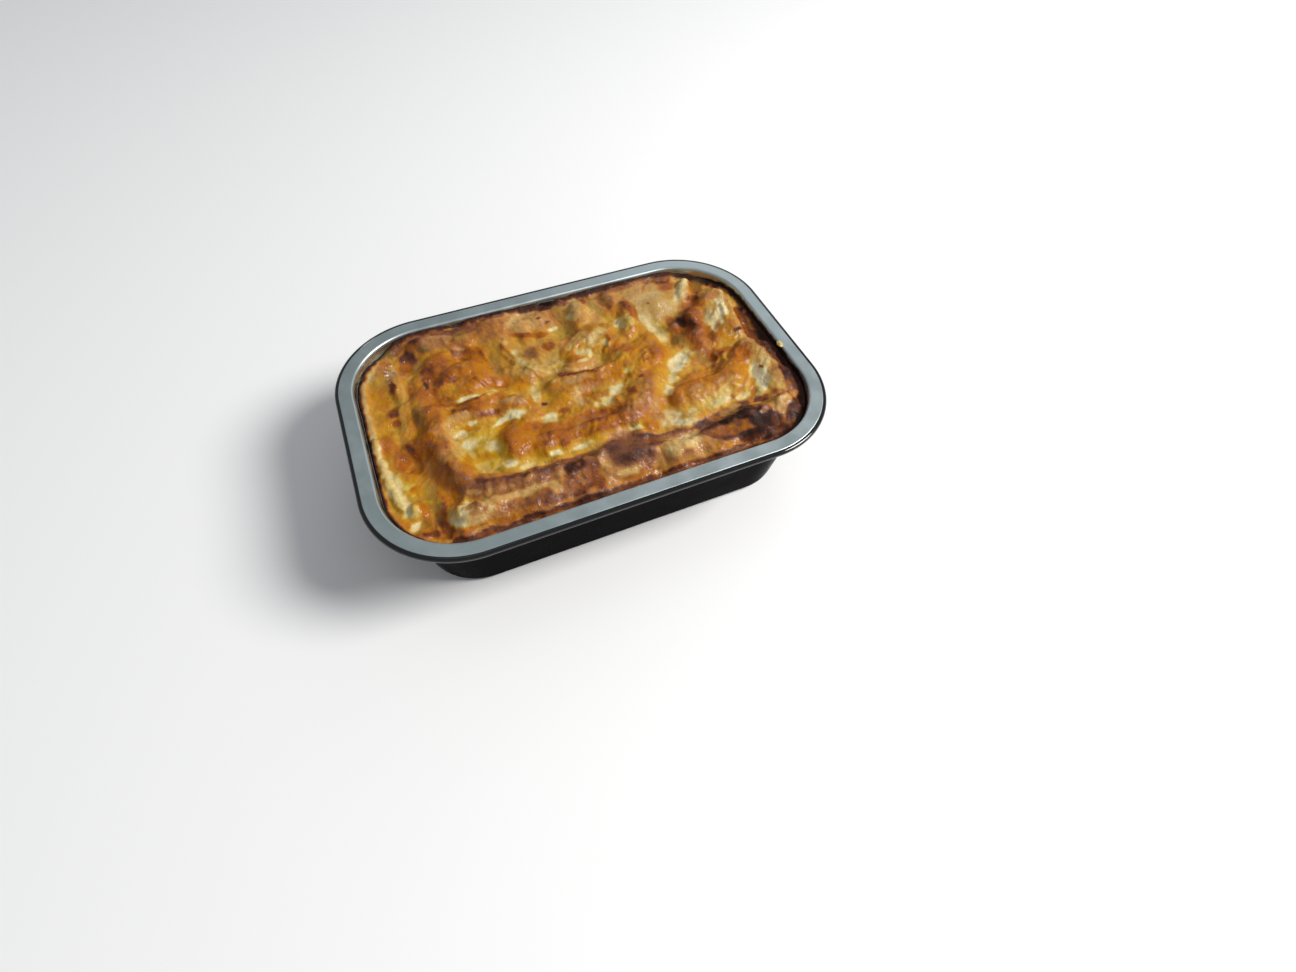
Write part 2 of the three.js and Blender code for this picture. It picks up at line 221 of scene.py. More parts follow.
def rounded_points(path, steps):
    points = []
    for k, corner in enumerate(path):
        if not corner[2]:
            points.append((corner[0], corner[1]))
            continue
        before, after = heading(path[k - 1], corner), heading(corner, path[k + 1])
        turn = atan2(cross2(before, after), before.dot(after))
        chord = 2 * corner[2] * sin(abs(turn) / (2 * steps))
        x, y = Vector(corner[:2]) - before * corner[2] * tan(abs(turn) / 2)
        points.append((x, y))
        for n in range(steps):
            angle = atan2(before.y, before.x) + turn * (n + 0.5) / steps
            x, y = x + chord * cos(angle), y + chord * sin(angle)
            points.append((x, y))
    return points


print("Points round the tray's section:", len(rounded_points(tray_path(), 4)))

# %% [markdown]
# ## The tray: two skins of one foil
# The real tray is aluminium with black lacquer on the outside, rolled under at its edge, so
# that the black shows again as a narrow band round the silver flange. One body could carry
# both finishes by face, but two thin closed skins, back to back, keep a clean edge between
# silver and black on any renderer, and each can take its own finish.

# %% Points along a section
BEND_STEPS = 7
SECTION_STEP = 5.0
HOLD = 0.15  # distance of a holding row from a bend
HELD_LENGTH = 1.0  # a flat longer than this gets a holding row at each end


def dense(points):
    """The same section with a point at least every SECTION_STEP along it."""
    out = [points[0]]
    for a, b in zip(points[:-1], points[1:]):
        length = hypot(b[0] - a[0], b[1] - a[1])
        count = max(1, round(length / SECTION_STEP))
        shares = [k / count for k in range(1, count + 1)]
        if length > HELD_LENGTH:  # so that the flat stays flat when it is shaded smooth
            shares = sorted(shares + [HOLD / length, 1 - HOLD / length])
        out += [(a[0] + (b[0] - a[0]) * share, a[1] + (b[1] - a[1]) * share) for share in shares]
    return out


food_side = dense(rounded_points(tray_path(), BEND_STEPS))
print("Points along the food's side of the tray:", len(food_side))

# %% Uneven foil
WAVE_HEIGHT = 0.16  # hand-pressed foil is never quite flat
WAVE_TOP = TRAY_HEIGHT - 3  # the flange above this level stays flat
WAVE_FADE = 8  # mm in which the waves die out towards the flange and the base
WAVE_LENGTH, WAVE_LENGTH_UP = 30, 60
DENT_LENGTH, DENT_LENGTH_UP = 7, 9
DENT_SHARE = 4  # how much deeper a dent can be than a wave
DENT_SHIFT = 9  # reads another part of the same noise
TRAY_STEP = 3.0
TRAY_CORNER_STEP = TRAY_STEP / 1.6  # closer, so that the corners are round


def foil_wave(x, y, z):
    """Sideways unevenness of the wall in mm: slow swells and a few shallow dents."""
    wall_share = max(0.0, min(1.0, (WAVE_TOP - z) / WAVE_FADE)) * min(1.0, z / WAVE_FADE)
    slow = noise.noise(Vector((x / WAVE_LENGTH, y / WAVE_LENGTH, z / WAVE_LENGTH_UP)))
    dents = noise.noise(Vector((x / DENT_LENGTH + DENT_SHIFT, y / DENT_LENGTH,
                                z / DENT_LENGTH_UP))) ** 3
    return WAVE_HEIGHT * wall_share * (slow + DENT_SHARE * dents)


def tray_rings(section):
    rings = []
    for inset, height in section:
        ring = []
        for part in outline(inset, TRAY_STEP, TRAY_CORNER_STEP):
            row = []
            for x, y in part:
                push = foil_wave(x, y, height)
                reach = hypot(x, y) or 1
                row.append((x * (1 + push / reach), y * (1 + push / reach), height))
            ring.append(row)
        rings.append(ring)
    return rings


print(f"Foil pushed by {foil_wave(104, 0, TRAY_HEIGHT / 2):.3f} mm halfway up the right wall")

# %% The rolled edge and the black skin
SKIN = 0.28  # thickness of each skin; a hair is left between the two
BEAD_STEPS = 22
BLACK_BAND = 0.5  # how far in over the flange the black of the rolled edge shows
SEAM = 0.03  # what is left open between the black and the silver
BAND_BEVEL = 0.08


def bead_points():
    """The rolled edge, from under the flange round to its top."""
    start = asin((BEAD_RADIUS - FOIL) / BEAD_RADIUS)
    sweep = start + 1.5 * pi
    angles = [start - sweep * k / BEAD_STEPS for k in range(BEAD_STEPS + 1)]
    return [(BEAD_RADIUS * cos(a), TRAY_HEIGHT - BEAD_RADIUS + BEAD_RADIUS * sin(a))
            for a in angles]


def skin_face(path, depth):
    """A face of a skin: the path moved away from the food by depth, with round bends."""
    return dense(rounded_points(offset_path(path, -depth), BEND_STEPS))


def black_section():
    inside = skin_face(tray_path(BLACK_BAND), FOIL - SKIN)
    under = skin_face(tray_path(), FOIL)
    band = [(BLACK_BAND - BAND_BEVEL, TRAY_HEIGHT), (BLACK_BAND, TRAY_HEIGHT - SEAM)]
    return under[:-1] + bead_points() + band + inside[::-1]


print("Points round the black skin's section:", len(black_section()))

# %% The silver skin and its lip
LIP_RADIUS, LIP_ARC, LIP_STEPS = 0.6, radians(38), 6  # its edge bends down to the black
LIP_EDGE = BLACK_BAND + SEAM
LIP_START = LIP_EDGE + LIP_RADIUS * sin(LIP_ARC)


def lip_points():
    bends = [LIP_ARC * k / LIP_STEPS for k in range(1, LIP_STEPS + 1)]
    return [(LIP_START - LIP_RADIUS * sin(bend), TRAY_HEIGHT - LIP_RADIUS * (1 - cos(bend)))
            for bend in bends]


def silver_section():
    path = tray_path(LIP_START)
    upper = dense(rounded_points(path, BEND_STEPS)) + lip_points()
    return skin_face(path, SKIN) + [(LIP_EDGE, TRAY_HEIGHT - SKIN)] + upper[::-1]


silver_skin = body_from_rings("silver_skin", tray_rings(silver_section()))
black_skin = body_from_rings("black_skin", tray_rings(black_section()))

# %% [markdown]
# ## The crust's large forms
# The crust is one height above each point of the tray. Long folds of cheese are paths with a
# rise along them, mounds and hollows are soft ovals, and where two forms cross the higher one
# wins smoothly. These are the same named forms as in the CAD solid, so the fine crust keeps
# its shape. Arrays from numpy work out all points of the crust at once.

# %% Folds
FOLDS = [  # name, width on the left and right of the path, points (x, y, rise)
    ("long roll, left part", 6, 11, [(-71, 9, 7), (-73, -5, 8), (-71, -22, 8.5), (-65, -36, 9),
                                     (-54, -43, 9.5), (-38, -46, 9.5)]),
    ("long roll, middle", 6, 13, [(-38, -46, 9.5), (-20, -48, 9.5), (-4, -49, 9.5),
                                  (12, -51, 8), (26, -54, 8)]),
    ("long roll, right part", 6, 12, [(26, -54, 8), (42, -53, 8.5), (56, -51, 9.5),
                                      (72, -50, 9)]),
    ("shoulder of the long roll", 6, 13, [(-73, -57, 7), (-66, -53, 9), (-50, -54, 8),
                                         (-28, -57, 7.5), (-10, -59, 6.5)]),
    ("left shoulder", 8, 7, [(-76, 10, 6), (-77, 22, 5.5), (-73, 34, 6), (-66, 42, 6.5)]),
    ("middle fold, left", 4.5, 11, [(-70, 6, 7), (-56, 8, 7.5), (-44, 9, 8), (-34, 4, 7),
                                    (-28, -3, 4.5)]),
    ("middle fold, right", 4.5, 10, [(-11, 9, 5.5), (0, 7, 6.5), (10, 6, 7), (21, 7, 7),
                                     (31, 11, 7)]),
    ("inner fold, left part", 5, 10, [(-42, -22, 8), (-30, -25, 6.5), (-8, -26, 6.5),
                                      (10, -24, 6.5), (18, -21, 7)]),
    ("inner fold, right part", 13, 10, [(18, -21, 7), (24, -17, 7.5), (31, -8, 7.5),
                                        (38, 2, 7.5), (44, 13, 7)]),
    ("lower right fold", 5, 12, [(44, -21, 6), (56, -20, 7), (68, -19, 7), (79, -12, 6.5),
                                 (88, -3, 6.5)]),
    ("slanting fold", 13, 9, [(2, 17, 3.5), (8, 25, 5), (16, 31, 6), (25, 36, 6)]),
    ("upright fold", 6, 4, [(37, 27, 6.5), (41, 37, 7), (43, 49, 6.5)]),
    ("right bank", 14, 10, [(87, 10, 6), (91, 24, 7), (92, 38, 7)]),
    ("right bank, near end", 12, 8, [(95, -38, 6.5), (96, -22, 7), (95.5, -6, 6.5)]),
    ("strand beside the left wall", 5, 4, [(-87, -2, 4), (-85, 16, 4.5), (-84, 32, 4.5),
                                           (-86, 48, 4)]),
    ("pale lip on the left wall", 3, 3, [(-97, -38, 4), (-101, -20, 5), (-102, 0, 4.5),
                                         (-102, 20, 4), (-101, 44, 4.5)]),
]
print(len(FOLDS), "folds, the highest", max(p[2] for *_, path in FOLDS for p in path), "mm")

# %% Mounds and hollows
MOUNDS = [  # name, centre, half-sizes, turn in degrees, rise
    ("burnt bubble", 3, -49.5, 15, 12.5, 0, 10.5), ("burnt lump", 68, -51, 15, 10, 8, 10.5),
    ("near right lump", 87, -49, 11, 10, 25, 9), ("tip of the long roll", -71, -54, 9, 8, 0, 9),
    ("browned dome", -40, -22, 10, 12, 0, 8.5),
    ("orange heap", -54, 29, 18, 17, 15, 8), ("orange heap, far end", -62, 43, 10, 10, 0, 8),
    ("golden plateau", 34, 16, 18, 17, 30, 7), ("brown heap", 73, 29, 10, 8, 20, 7.5),
    ("brown slope", 70, 14, 9, 10, 0, 5), ("far left mound", -64, 60, 14, 10, 0, 8),
    ("far middle mound", -30, 59, 15, 10, 0, 7), ("far ridge", -16, 53, 6, 13, 5, 6.5),
    ("pale ridge", 17, 55, 7, 13, -10, 7), ("low far mound", 36, 60, 9, 8, 0, 6.5),
    ("far shelf, left", -40, 62, 42, 18, 0, 5.8), ("far shelf, right", 35, 62, 52, 17, 0, 5.2),
    ("smooth sauce", 60, 53, 20, 15, 0, 6.5), ("slanting pale ridge", 80, 52, 5, 12, -25, 7.5),
    ("pale curd", -91, -41, 5, 6, 0, 5), ("lower curd", -92, -54, 4, 4, 0, 4),
]
HOLLOWS = [  # name, centre, half-sizes, turn, depth
    ("burnt hole", 67, 24, 4.5, 7, 0, 4.5), ("dip behind the brown heap", 81, 42, 5, 5, 0, 2.5),
    ("brown dip, far left", -75, 52, 6, 9, 0, 3), ("small dip, far left", -50, 46, 5, 5, 0, 2.5),
    ("dip beside the long roll", -89, -13, 4, 9, 12, 2.5),
    ("near left corner", -86, -48, 5, 11, 0, 1.5), ("pool in the middle", -20, 6, 6, 10, 0, 1.2),
    ("dip behind the slanting fold", 3, 45, 7, 7, 0, 2.5),
    ("pale valley", 53, 21, 6, 14, -18, 2.5), ("pale pool", 53, -2, 9, 8, 35, 2),
    ("brown pocket", 69, -2, 7, 8, 0, 3), ("bowl in the burnt lump", 52, -53, 8, 5, -30, 2),
]
print(len(MOUNDS), "mounds and", len(HOLLOWS), "hollows")

# %% Edge marks and the groove
EDGE_MARKS = [  # where the crust climbs the wall or falls short of its usual level there
    ("far side, left", -48, 72, 52, 22, 0, 3.8), ("far side, right", 46, 74, 50, 16, 0, 3.4),
    ("notch, far left", -48, 70, 6, 12, 0, -2.5), ("narrow notch", 3, 70, 4, 12, 0, -1.8),
    ("far left corner", -91, 64, 10, 8, 40, -2.6), ("right side", 108, 5, 14, 60, 0, 1.4),
]
SHRINK_GROOVE = ("shrink groove", 3, 3, [
    (78, -69, 2), (90, -66, 4), (98.5, -60, 7), (104.5, -51.5, 7), (106.5, -40, 4), (106, -22, 2),
    (106, 20, 2), (105.5, 36, 3), (103, 50, 5), (95, 61, 6), (84, 68, 3)])
groove_depth = max(p[2] for p in SHRINK_GROOVE[3])
print(len(EDGE_MARKS), "edge marks and a groove up to", groove_depth, "mm deep")

# %% Height of one form
FALL_OFF = 1.2
NEVER_ZERO = 1e-9


def along_path(x, y, through, left, right):
    """Value along the nearest stretch of a path, falling away over left and right mm."""
    nearest = np.full(x.shape, np.inf)
    side, value = np.zeros(x.shape), np.zeros(x.shape)
    for (ax, ay, a), (bx, by, b) in zip(through[:-1], through[1:]):
        dx, dy = bx - ax, by - ay
        share = np.clip(((x - ax) * dx + (y - ay) * dy) / (dx * dx + dy * dy), 0, 1)
        ox, oy = x - ax - share * dx, y - ay - share * dy
        distance = np.hypot(ox, oy)
        closer = distance < nearest
        turned = (dx * oy - dy * ox) / (hypot(dx, dy) * distance + NEVER_ZERO)
        side = np.where(closer, turned, side)
        value = np.where(closer, a + share * (b - a), value)
        nearest = np.where(closer, distance, nearest)
    width = right + (left - right) * (0.5 + 0.5 * side)
    return value * np.exp(-FALL_OFF * (nearest / width) ** 3)


def oval(x, y, cx, cy, half_long, half_broad, turn):
    """1 at the middle of an oval, falling to nothing past its edge."""
    c, s = cos(radians(turn)), sin(radians(turn))
    along, across = (x - cx) * c + (y - cy) * s, (y - cy) * c - (x - cx) * s
    return np.exp(-FALL_OFF * np.hypot(along / half_long, across / half_broad) ** 3)


def ovals(x, y, marks):
    """What ovals add up to, each with its amount as the last number."""
    return sum(amount * oval(x, y, *place) for *place, amount in marks)


def at(measure, x, y):
    """One value of a measure that works on arrays of points."""
    return round(float(measure(np.array(float(x)), np.array(float(y)))), 2)


print("Share of an oval's rise that is left at its edge:", round(exp(-FALL_OFF), 2))

# %% Gentle swell
SWELL_SEED, SWELL_WAVES = 7, 9
SWELL_SHORT, SWELL_LONG, SWELL_HEIGHT = 9, 26, 0.34
DRAW_FACTOR, DRAW_LIMIT = 16807, 2147483647  # a plain way to draw the same numbers each time


def seeded_draw(seed):
    state = seed
    while True:
        state = state * DRAW_FACTOR % DRAW_LIMIT
        yield state / DRAW_LIMIT


def swell(x, y):
    draw = seeded_draw(SWELL_SEED)
    total = np.zeros(x.shape)
    for _ in range(SWELL_WAVES):
        direction = 2 * pi * next(draw)
        turns = 2 * pi / (SWELL_SHORT + (SWELL_LONG - SWELL_SHORT) * next(draw))
        phase = 2 * pi * next(draw)
        total += SWELL_HEIGHT * np.sin(turns * (cos(direction) * x + sin(direction) * y) + phase)
    return total


print("Swell in the middle:", at(swell, 0, 0), "mm")

# %% Level of the open crust
BED = -8.5  # mm from the flange's top, under all forms
SAUCE_RISE = 2.6
BLEND = 4  # a higher number keeps a sharper valley between two forms
EDGE_LEVEL = -4.5


def open_crust(x, y):
    """Level of the crust away from the wall, in mm from the flange's top."""
    rises = [along_path(x, y, path, left, right) for _, left, right, path in FOLDS]
    rises += [rise * oval(x, y, *place) for _, *place, rise in MOUNDS]
    rise = (SAUCE_RISE ** BLEND + sum(value ** BLEND for value in rises)) ** (1 / BLEND)
    dip = ovals(x, y, [hollow[1:] for hollow in HOLLOWS])
    _, left, right, path = SHRINK_GROOVE
    return BED + rise - dip + swell(x, y) - along_path(x, y, path, left, right)


def edge_level(x, y):
    return EDGE_LEVEL + ovals(x, y, [mark[1:] for mark in EDGE_MARKS])


print("Crust's level in the middle:", at(open_crust, 0, 0), "mm from the flange's top")

# %% [markdown]
# ## The crust's fine relief
# On the large forms lie wrinkles, cheese strands, small blisters and the rough skin of baked
# cheese. They are real geometry, because light rakes across them. A little noise first pushes
# each point sideways, so that no fold looks drawn with a ruler.

# %% Noise
NOISE_FALL, NOISE_STEP = 1.0, 2.1  # how much weaker and finer each further octave is
WARP_X, WARP_Y = (1.3, 9.0, 2, 31), (1.3, 9.0, 2, 47)  # each height, length, octaves, seed


def noise_field(x, y, length, octaves=2, seed=0.0):
    """Smooth noise between about -1 and 1 whose bumps are `length` mm apart."""
    flat = [noise.fractal(Vector((a / length, b / length, seed)), NOISE_FALL, NOISE_STEP, octaves)
            for a, b in zip(x.ravel(), y.ravel())]
    return np.array(flat).reshape(x.shape)


def bumps(x, y, height, length, octaves, seed):
    """Noise of a height in mm. A tuple of its last four numbers is one kind of unevenness."""
    return height * noise_field(x, y, length, octaves, seed)


def ridged_field(x, y, length, seed=0.0):
    """Sharp little crests, as in skin that shrank."""
    return 1 - 2 * np.abs(noise_field(x, y, length, 2, seed))


def warped(x, y):
    return x + bumps(x, y, *WARP_X), y + bumps(x, y, *WARP_Y)


print("Noise in the middle:", at(lambda x, y: bumps(x, y, *WARP_X), 0, 0), "mm")

# %% Wrinkles and blisters
RING_POINTS = 18


def wrinkle(width, *through):
    return lambda x, y: along_path(x, y, through, width, width)


def blister(cx, cy, half_long, half_broad=None, turn=0, rise=0.8):
    return lambda x, y: rise * oval(x, y, cx, cy, half_long, half_broad or half_long, turn)


def ring_of(cx, cy, rx, ry, width, rise):
    angles = [2 * pi * k / RING_POINTS for k in range(RING_POINTS + 1)]
    return wrinkle(width, *[(cx + rx * cos(a), cy + ry * sin(a), rise) for a in angles])


print("Top of a blister:", at(blister(0, 0, 3), 0, 0), "mm")

# %% [markdown]
# ### Stretched folds
# Where a roll turns or sags, its skin pulls into a row of short folds that lie side by side.
# Drawing each by hand would take a long list, so one line names where a row starts and ends and
# which way its folds run, and a seeded draw makes them uneven, the same way each time.

# %% Stretched folds
STREAK_SCATTER = 1.6  # in spaces between two folds
STREAK_LENGTH, STREAK_MORE_LENGTH = 0.5, 0.8  # shortest, and what is added at most
STREAK_BEND = 4.5
STREAK_RISE, STREAK_MORE_RISE = 0.45, 0.55
STREAK_WIDTH, STREAK_MORE_WIDTH = 0.8, 0.5
STREAK_TAIL = 0.3  # share of the rise that is left at the far end


def streaks(start, end, reach, count, width, top_rise, seed):
    """Short folds beside each other from start to end, each as long as `reach` says."""
    draw = seeded_draw(seed)
    out = []
    for k in range(count):
        share = (k + STREAK_SCATTER * (next(draw) - 0.5)) / max(1, count - 1)
        x = start[0] + (end[0] - start[0]) * share
        y = start[1] + (end[1] - start[1]) * share
        length = STREAK_LENGTH + STREAK_MORE_LENGTH * next(draw)
        bend = STREAK_BEND * (next(draw) - 0.5)
        rise = top_rise * (STREAK_RISE + STREAK_MORE_RISE * next(draw))
        middle = (x + reach[0] * length / 2 + bend, y + reach[1] * length / 2, rise)
        tip = (x + reach[0] * length, y + reach[1] * length, rise * STREAK_TAIL)
        width_here = width * (STREAK_WIDTH + STREAK_MORE_WIDTH * next(draw))
        out.append(wrinkle(width_here, (x, y, rise), middle, tip))
    return out


STREAKS = [
    *streaks((-66, -42), (-10, -46), (-3, -13), 9, 2.0, 0.8, 11),
    *streaks((-64, -42), (-14, -45), (-8, -8), 8, 1.2, 0.6, 13),
    *streaks((-12, -44), (-9, -58), (-6, 1), 5, 1.1, 0.7, 17),
    *streaks((20, -48), (42, -48), (-2, -11), 6, 1.5, 0.7, 5),
    *streaks((-78, 0), (-72, -36), (8, -5), 9, 1.6, 0.7, 21),
    *streaks((80, 12), (93, 20), (6, 17), 5, 1.5, 0.8, 31),
    *streaks((76, -58), (90, -40), (9, 2), 6, 1.5, 0.9, 41),
    *streaks((58, -36), (88, -26), (8, 7), 7, 1.6, 0.7, 51),
    *streaks((14, -27), (36, -14), (5, 9), 7, 1.4, 0.7, 61),
    *streaks((-44, 3), (-26, 2), (4, 8), 5, 1.3, 0.6, 71),
    *streaks((8, 28), (26, 34), (6, 5), 5, 1.2, 0.8, 81),
    *streaks((-4, -30), (26, -20), (3, 7), 9, 1.2, 0.6, 91),
    *streaks((-26, 22), (-4, 16), (5, 9), 6, 1.1, 0.6, 97),
    *streaks((84, 34), (96, 28), (3, -9), 5, 1.2, 0.6, 103),
    *streaks((-76, -50), (-62, -58), (8, -2), 5, 1.3, 0.8, 107),
]
print(len(STREAKS), "stretched folds")

# %% Wrinkles and blisters in their places
FINE_FORMS = [  # wrinkle: width, points (x, y, rise); blister: centre, half-sizes, turn, rise
    *STREAKS,
    wrinkle(1.3, (-29, 44, 0.7), (-25, 36, 0.9), (-26, 30, 0.4)),
    wrinkle(1.2, (-22, 24, 0.7), (-16, 16, 0.9), (-7, 14, 0.5)),
    wrinkle(1.0, (-40, 45, 0.8), (-38, 36, 0.8), (-37, 30, 0.5)),
    wrinkle(1.0, (-57, 57, 0.9), (-53, 48, 0.8), (-46, 43, 0.6)),
    wrinkle(1.2, (-48, 23, 0.8), (-42, 18, 1.0), (-35, 17, 0.6)),
    blister(-38, 22, 2.6, 2.2, 0, 0.9),
    wrinkle(1.2, (-27, 47, 0.8), (-30, 40, 0.8), (-27, 34, 0.6)),
    wrinkle(1.2, (-84, 46, 0.7), (-80, 40, 0.9), (-73, 42, 0.7)),
    wrinkle(1.3, (-10, 11.5, 1.0), (-2, 9.5, 1.2), (8, 7.5, 1.1), (16, 7, 0.7)),
    wrinkle(1.2, (20, 22, 1.0), (24, 24, 1.3), (25, 29, 1.2), (22, 31, 0.6)),
    wrinkle(1.3, (64, -12, 1.0), (70, -12.5, 1.2), (75, -9, 1.2), (77, -3, 0.8)),
    wrinkle(1.2, (66, -8, 0.8), (70, -8, 1.0), (73, -5, 0.9), (73, 0, 0.6)),
    wrinkle(1.2, (-95, -27, 0.6), (-91, -34, 0.9), (-86, -38, 0.8)),
    ring_of(2.5, -50.5, 12.5, 9.5, 1.8, 1.0), ring_of(-71, -53, 5, 4, 1.3, 0.8),
    ring_of(38, 4, 3, 3, 1.1, 0.7), ring_of(66, 23.5, 6, 6.5, 1.8, 1.0), blister(-90, 16, 3.2),
    blister(-90, 8, 2.8, 3.4), blister(-87, 34, 2, 5), blister(-95, 45, 3),
    blister(-20, -32, 3, 2.4, 0, 1.0), blister(-3, -30, 4.5, 2, 0, 0.9), blister(92, 8, 2.6),
    blister(-14, -13, 3, 2.2), blister(2, 21, 4, 3.5, 0, 1.3), blister(-37, -7, 3, 2.5, 0, 1.2),
    blister(-42, -10, 3.5, 1.6, 25, 0.9), blister(-33, -8, 2.2, 2.6, 0, 1.0),
    blister(-57, 12, 4, 2, 15, 1.0), blister(-22, -14, 3.2, 3, 0, 1.0),
    blister(6, -15, 3.5, 2.4, 10, 1.2), blister(12, -14, 3, 2, 15, 1.1),
    blister(50, -7, 4, 3, 40, 1.2), blister(55, -3, 3.5, 3, 30, 1.0),
    blister(-92, -41, 2.6, 3, 0, 1.2), blister(-94, -45, 2, 2, 0, 0.9),
    blister(-88, -46, 2.2, 3.6, 0, 1.2), blister(-92, -55, 3, 2, 20, 1.0),
    blister(-86, -57, 2, 1.6, 0, 0.8), blister(83, -34, 2.6, 3.4, -20, 1.1),
    blister(36, -43, 3.5, 1.3, 0, 0.9), blister(-15, -36.5, 5, 1.8, 5, 0.9),
    blister(-25, -36, 2.6, 1.8, 0, 0.8), blister(14, -36, 4, 2, -20, 1.0),
    blister(-64, -9, 2.6, 2, 0, 0.9), blister(-58, -18, 3, 2.4, 0, 0.6),
    blister(-50, -33, 3.5, 2, -20, 0.8), blister(22, 60, 2.4, 2, 0, 0.8),
    blister(40, 38, 3, 5, 0, 0.8), blister(-60, 30, 4, 3, 0, 0.8),
    blister(-50, 24, 3.5, 3, 0, 0.8), blister(-46, 35, 3, 3.5, 0, 0.7),
]
SMOOTH_PLACES = [  # where the skin is smooth sauce and the fine relief fades, and by how much
    (60, 47, 17, 16, 0, 0.85), (-58, -20, 12, 14, 0, 0.5), (-40, -20, 8, 11, 0, 0.6),
    (-96, 10, 5, 30, 0, 0.5), (4, -48, 13, 10, 0, 0.85), (-14, 0, 7, 9, 0, 0.5),
    (-74, 52, 5, 8, 0, 0.5),
]
print(len(FINE_FORMS), "fine forms,", len(SMOOTH_PLACES), "smooth places")

# %% Fine relief
STRAND_BEND = (3.0, 12.0, 2, 61)  # height, length, octaves, seed
STRAND_RISE, STRAND_LENGTH = 0.24, 3.6
STRAND_ALONG, STRAND_ACROSS = 0.6, 0.45  # strands run aslant and are longer than wide
STRINGY_LENGTH, STRINGY_CONTRAST = 22.0, 1.2  # they come in patches
PUCKER_RISE, PUCKER_LENGTH = 0.20, 4.2
GRAIN = (0.30, 2.0, 2, 8)
LARGE_LUMPS, SMALL_LUMPS = (0.55, 8.0, 2, 15), (0.35, 4.2, 1, 19)


def fine_relief(x, y, roughness):
    forms = sum(form(x, y) for form in FINE_FORMS)
    bend = bumps(x, y, *STRAND_BEND)
    strands = STRAND_RISE * ridged_field(
        (x + y) * STRAND_ALONG + bend, (y - x) * STRAND_ACROSS - bend, STRAND_LENGTH, 3)
    skin = PUCKER_RISE * ridged_field(x, y, PUCKER_LENGTH, 5) + bumps(x, y, *GRAIN)
    lumps = bumps(x, y, *LARGE_LUMPS) + bumps(x, y, *SMALL_LUMPS)
    patches = 0.5 + STRINGY_CONTRAST * noise_field(x, y, STRINGY_LENGTH, 2, 71)
    return forms + roughness * (skin + lumps + np.clip(patches, 0, 1) * strands)


# %% [markdown]
# ## The dish as one body
# The dish is not cut, so nothing of its inside is invented: one closed body with the tray's
# inner form below and the crust above. The crust's rings are two thirds of a millimetre apart,
# so that a wrinkle has several facets across it.

# %% The crust's points in plan
GAP = 0.35  # between the dish and the tray
CRUST_STEP = 0.66


def wall_inset(height):
    return FLANGE_WIDTH + (TRAY_HEIGHT - height) * tan(WALL_TAPER) + GAP / cos(WALL_TAPER)


def crust_rows():
    depth = FLANGE_BREADTH / 2 - wall_inset(TRAY_HEIGHT + EDGE_LEVEL) - CRUST_STEP
    count = round(depth / CRUST_STEP)
    return [0, CRUST_STEP / 2] + [CRUST_STEP + depth * k / count for k in range(count + 1)]


def crust_points():
    """The crust's plan: its rings as parts, and every point's x, y and distance from the wall."""
    rings, places = [], []
    for from_wall in crust_rows():
        inset = min(wall_inset(TRAY_HEIGHT + EDGE_LEVEL) + from_wall, FLANGE_BREADTH / 2)
        ring = outline(inset, CRUST_STEP, CRUST_STEP)
        rings.append([len(part) for part in ring])
        places += [(x, y, from_wall, inset) for part in ring for x, y in part]
    return rings, np.array(places)


print(len(crust_rows()), "rings from the wall to the middle")

# %% The crust's levels
EDGE_FADE = 2.0  # mm from the wall over which the edge's own level is felt
EDGE_RAGGED = (0.5, 3.5, 2, 77)


def crust_levels(x, y, from_wall):
    warp_x, warp_y = warped(x, y)
    smooth = np.clip(ovals(x, y, SMOOTH_PLACES), 0, 1)
    level = open_crust(warp_x, warp_y) + fine_relief(x, y, 1 - smooth)
    edge = edge_level(warp_x, y) + bumps(x, y, *EDGE_RAGGED)
    fade = np.exp(-(from_wall / EDGE_FADE) ** 2)
    return level * (1 - fade) + edge * fade


# %% The body under the crust
HOLD_REACH = 11.0  # mm from the wall in which the crust's points follow its slope
BASE_BEND_STEPS = 4
BASE_POINTS = 3 + BASE_BEND_STEPS + 1  # three corners and the bend of the foot
BASE_STEP, BASE_CORNER_STEP = 6, 2


def base_rings():
    base = rounded_points(offset_path(tray_path(), GAP), BASE_BEND_STEPS)[:BASE_POINTS]
    return [[[(x, y, height) for x, y in part]
             for part in outline(inset, BASE_STEP, BASE_CORNER_STEP)] for inset, height in base]


def dish_rings():
    rings, places = crust_points()
    x, y, from_wall, inset = places.T
    level = crust_levels(x, y, from_wall)
    pull = (EDGE_LEVEL - level) * tan(WALL_TAPER) * np.maximum(0, 1 - from_wall / HOLD_REACH)
    reach_x = FLANGE_LENGTH / 2 - inset
    reach_y = np.maximum(TINY, FLANGE_BREADTH / 2 - inset)
    points = np.stack([x * (1 - pull / reach_x), y * (1 - pull / reach_y), TRAY_HEIGHT + level], 1)
    out = base_rings()
    first = 0
    for counts in rings:
        ring = []
        for count in counts:
            ring.append([tuple(p) for p in points[first:first + count].tolist()])
            first += count
        out.append(ring)
    return out


dish = body_from_rings("baked_dish", dish_rings())

# %% [markdown]
# ## What the oven did, place by place
# Cheese goes from cream through yellow, gold and orange to red-brown and black. That is one
# number, its doneness, so each vertex stores it and one colour ramp turns it into colour. It
# starts from the height, since crests come nearest to the heat. Then dabs and strokes are
# painted over it in order, as with a brush. A second number says whether the top is melted
# cheese, which is orange, or the sauce's own skin, which is a pinkish tan. The painter works
# from the diner's seat: every place is given on a level sheet just under the flange's top, and
# a point of the crust has the finish of the place where the diner's line of sight to it
# crosses that sheet.

# %% Brushes
PATCH_FULL, PATCH_END = 0.6, 1.35  # in half-sizes from the middle of a patch


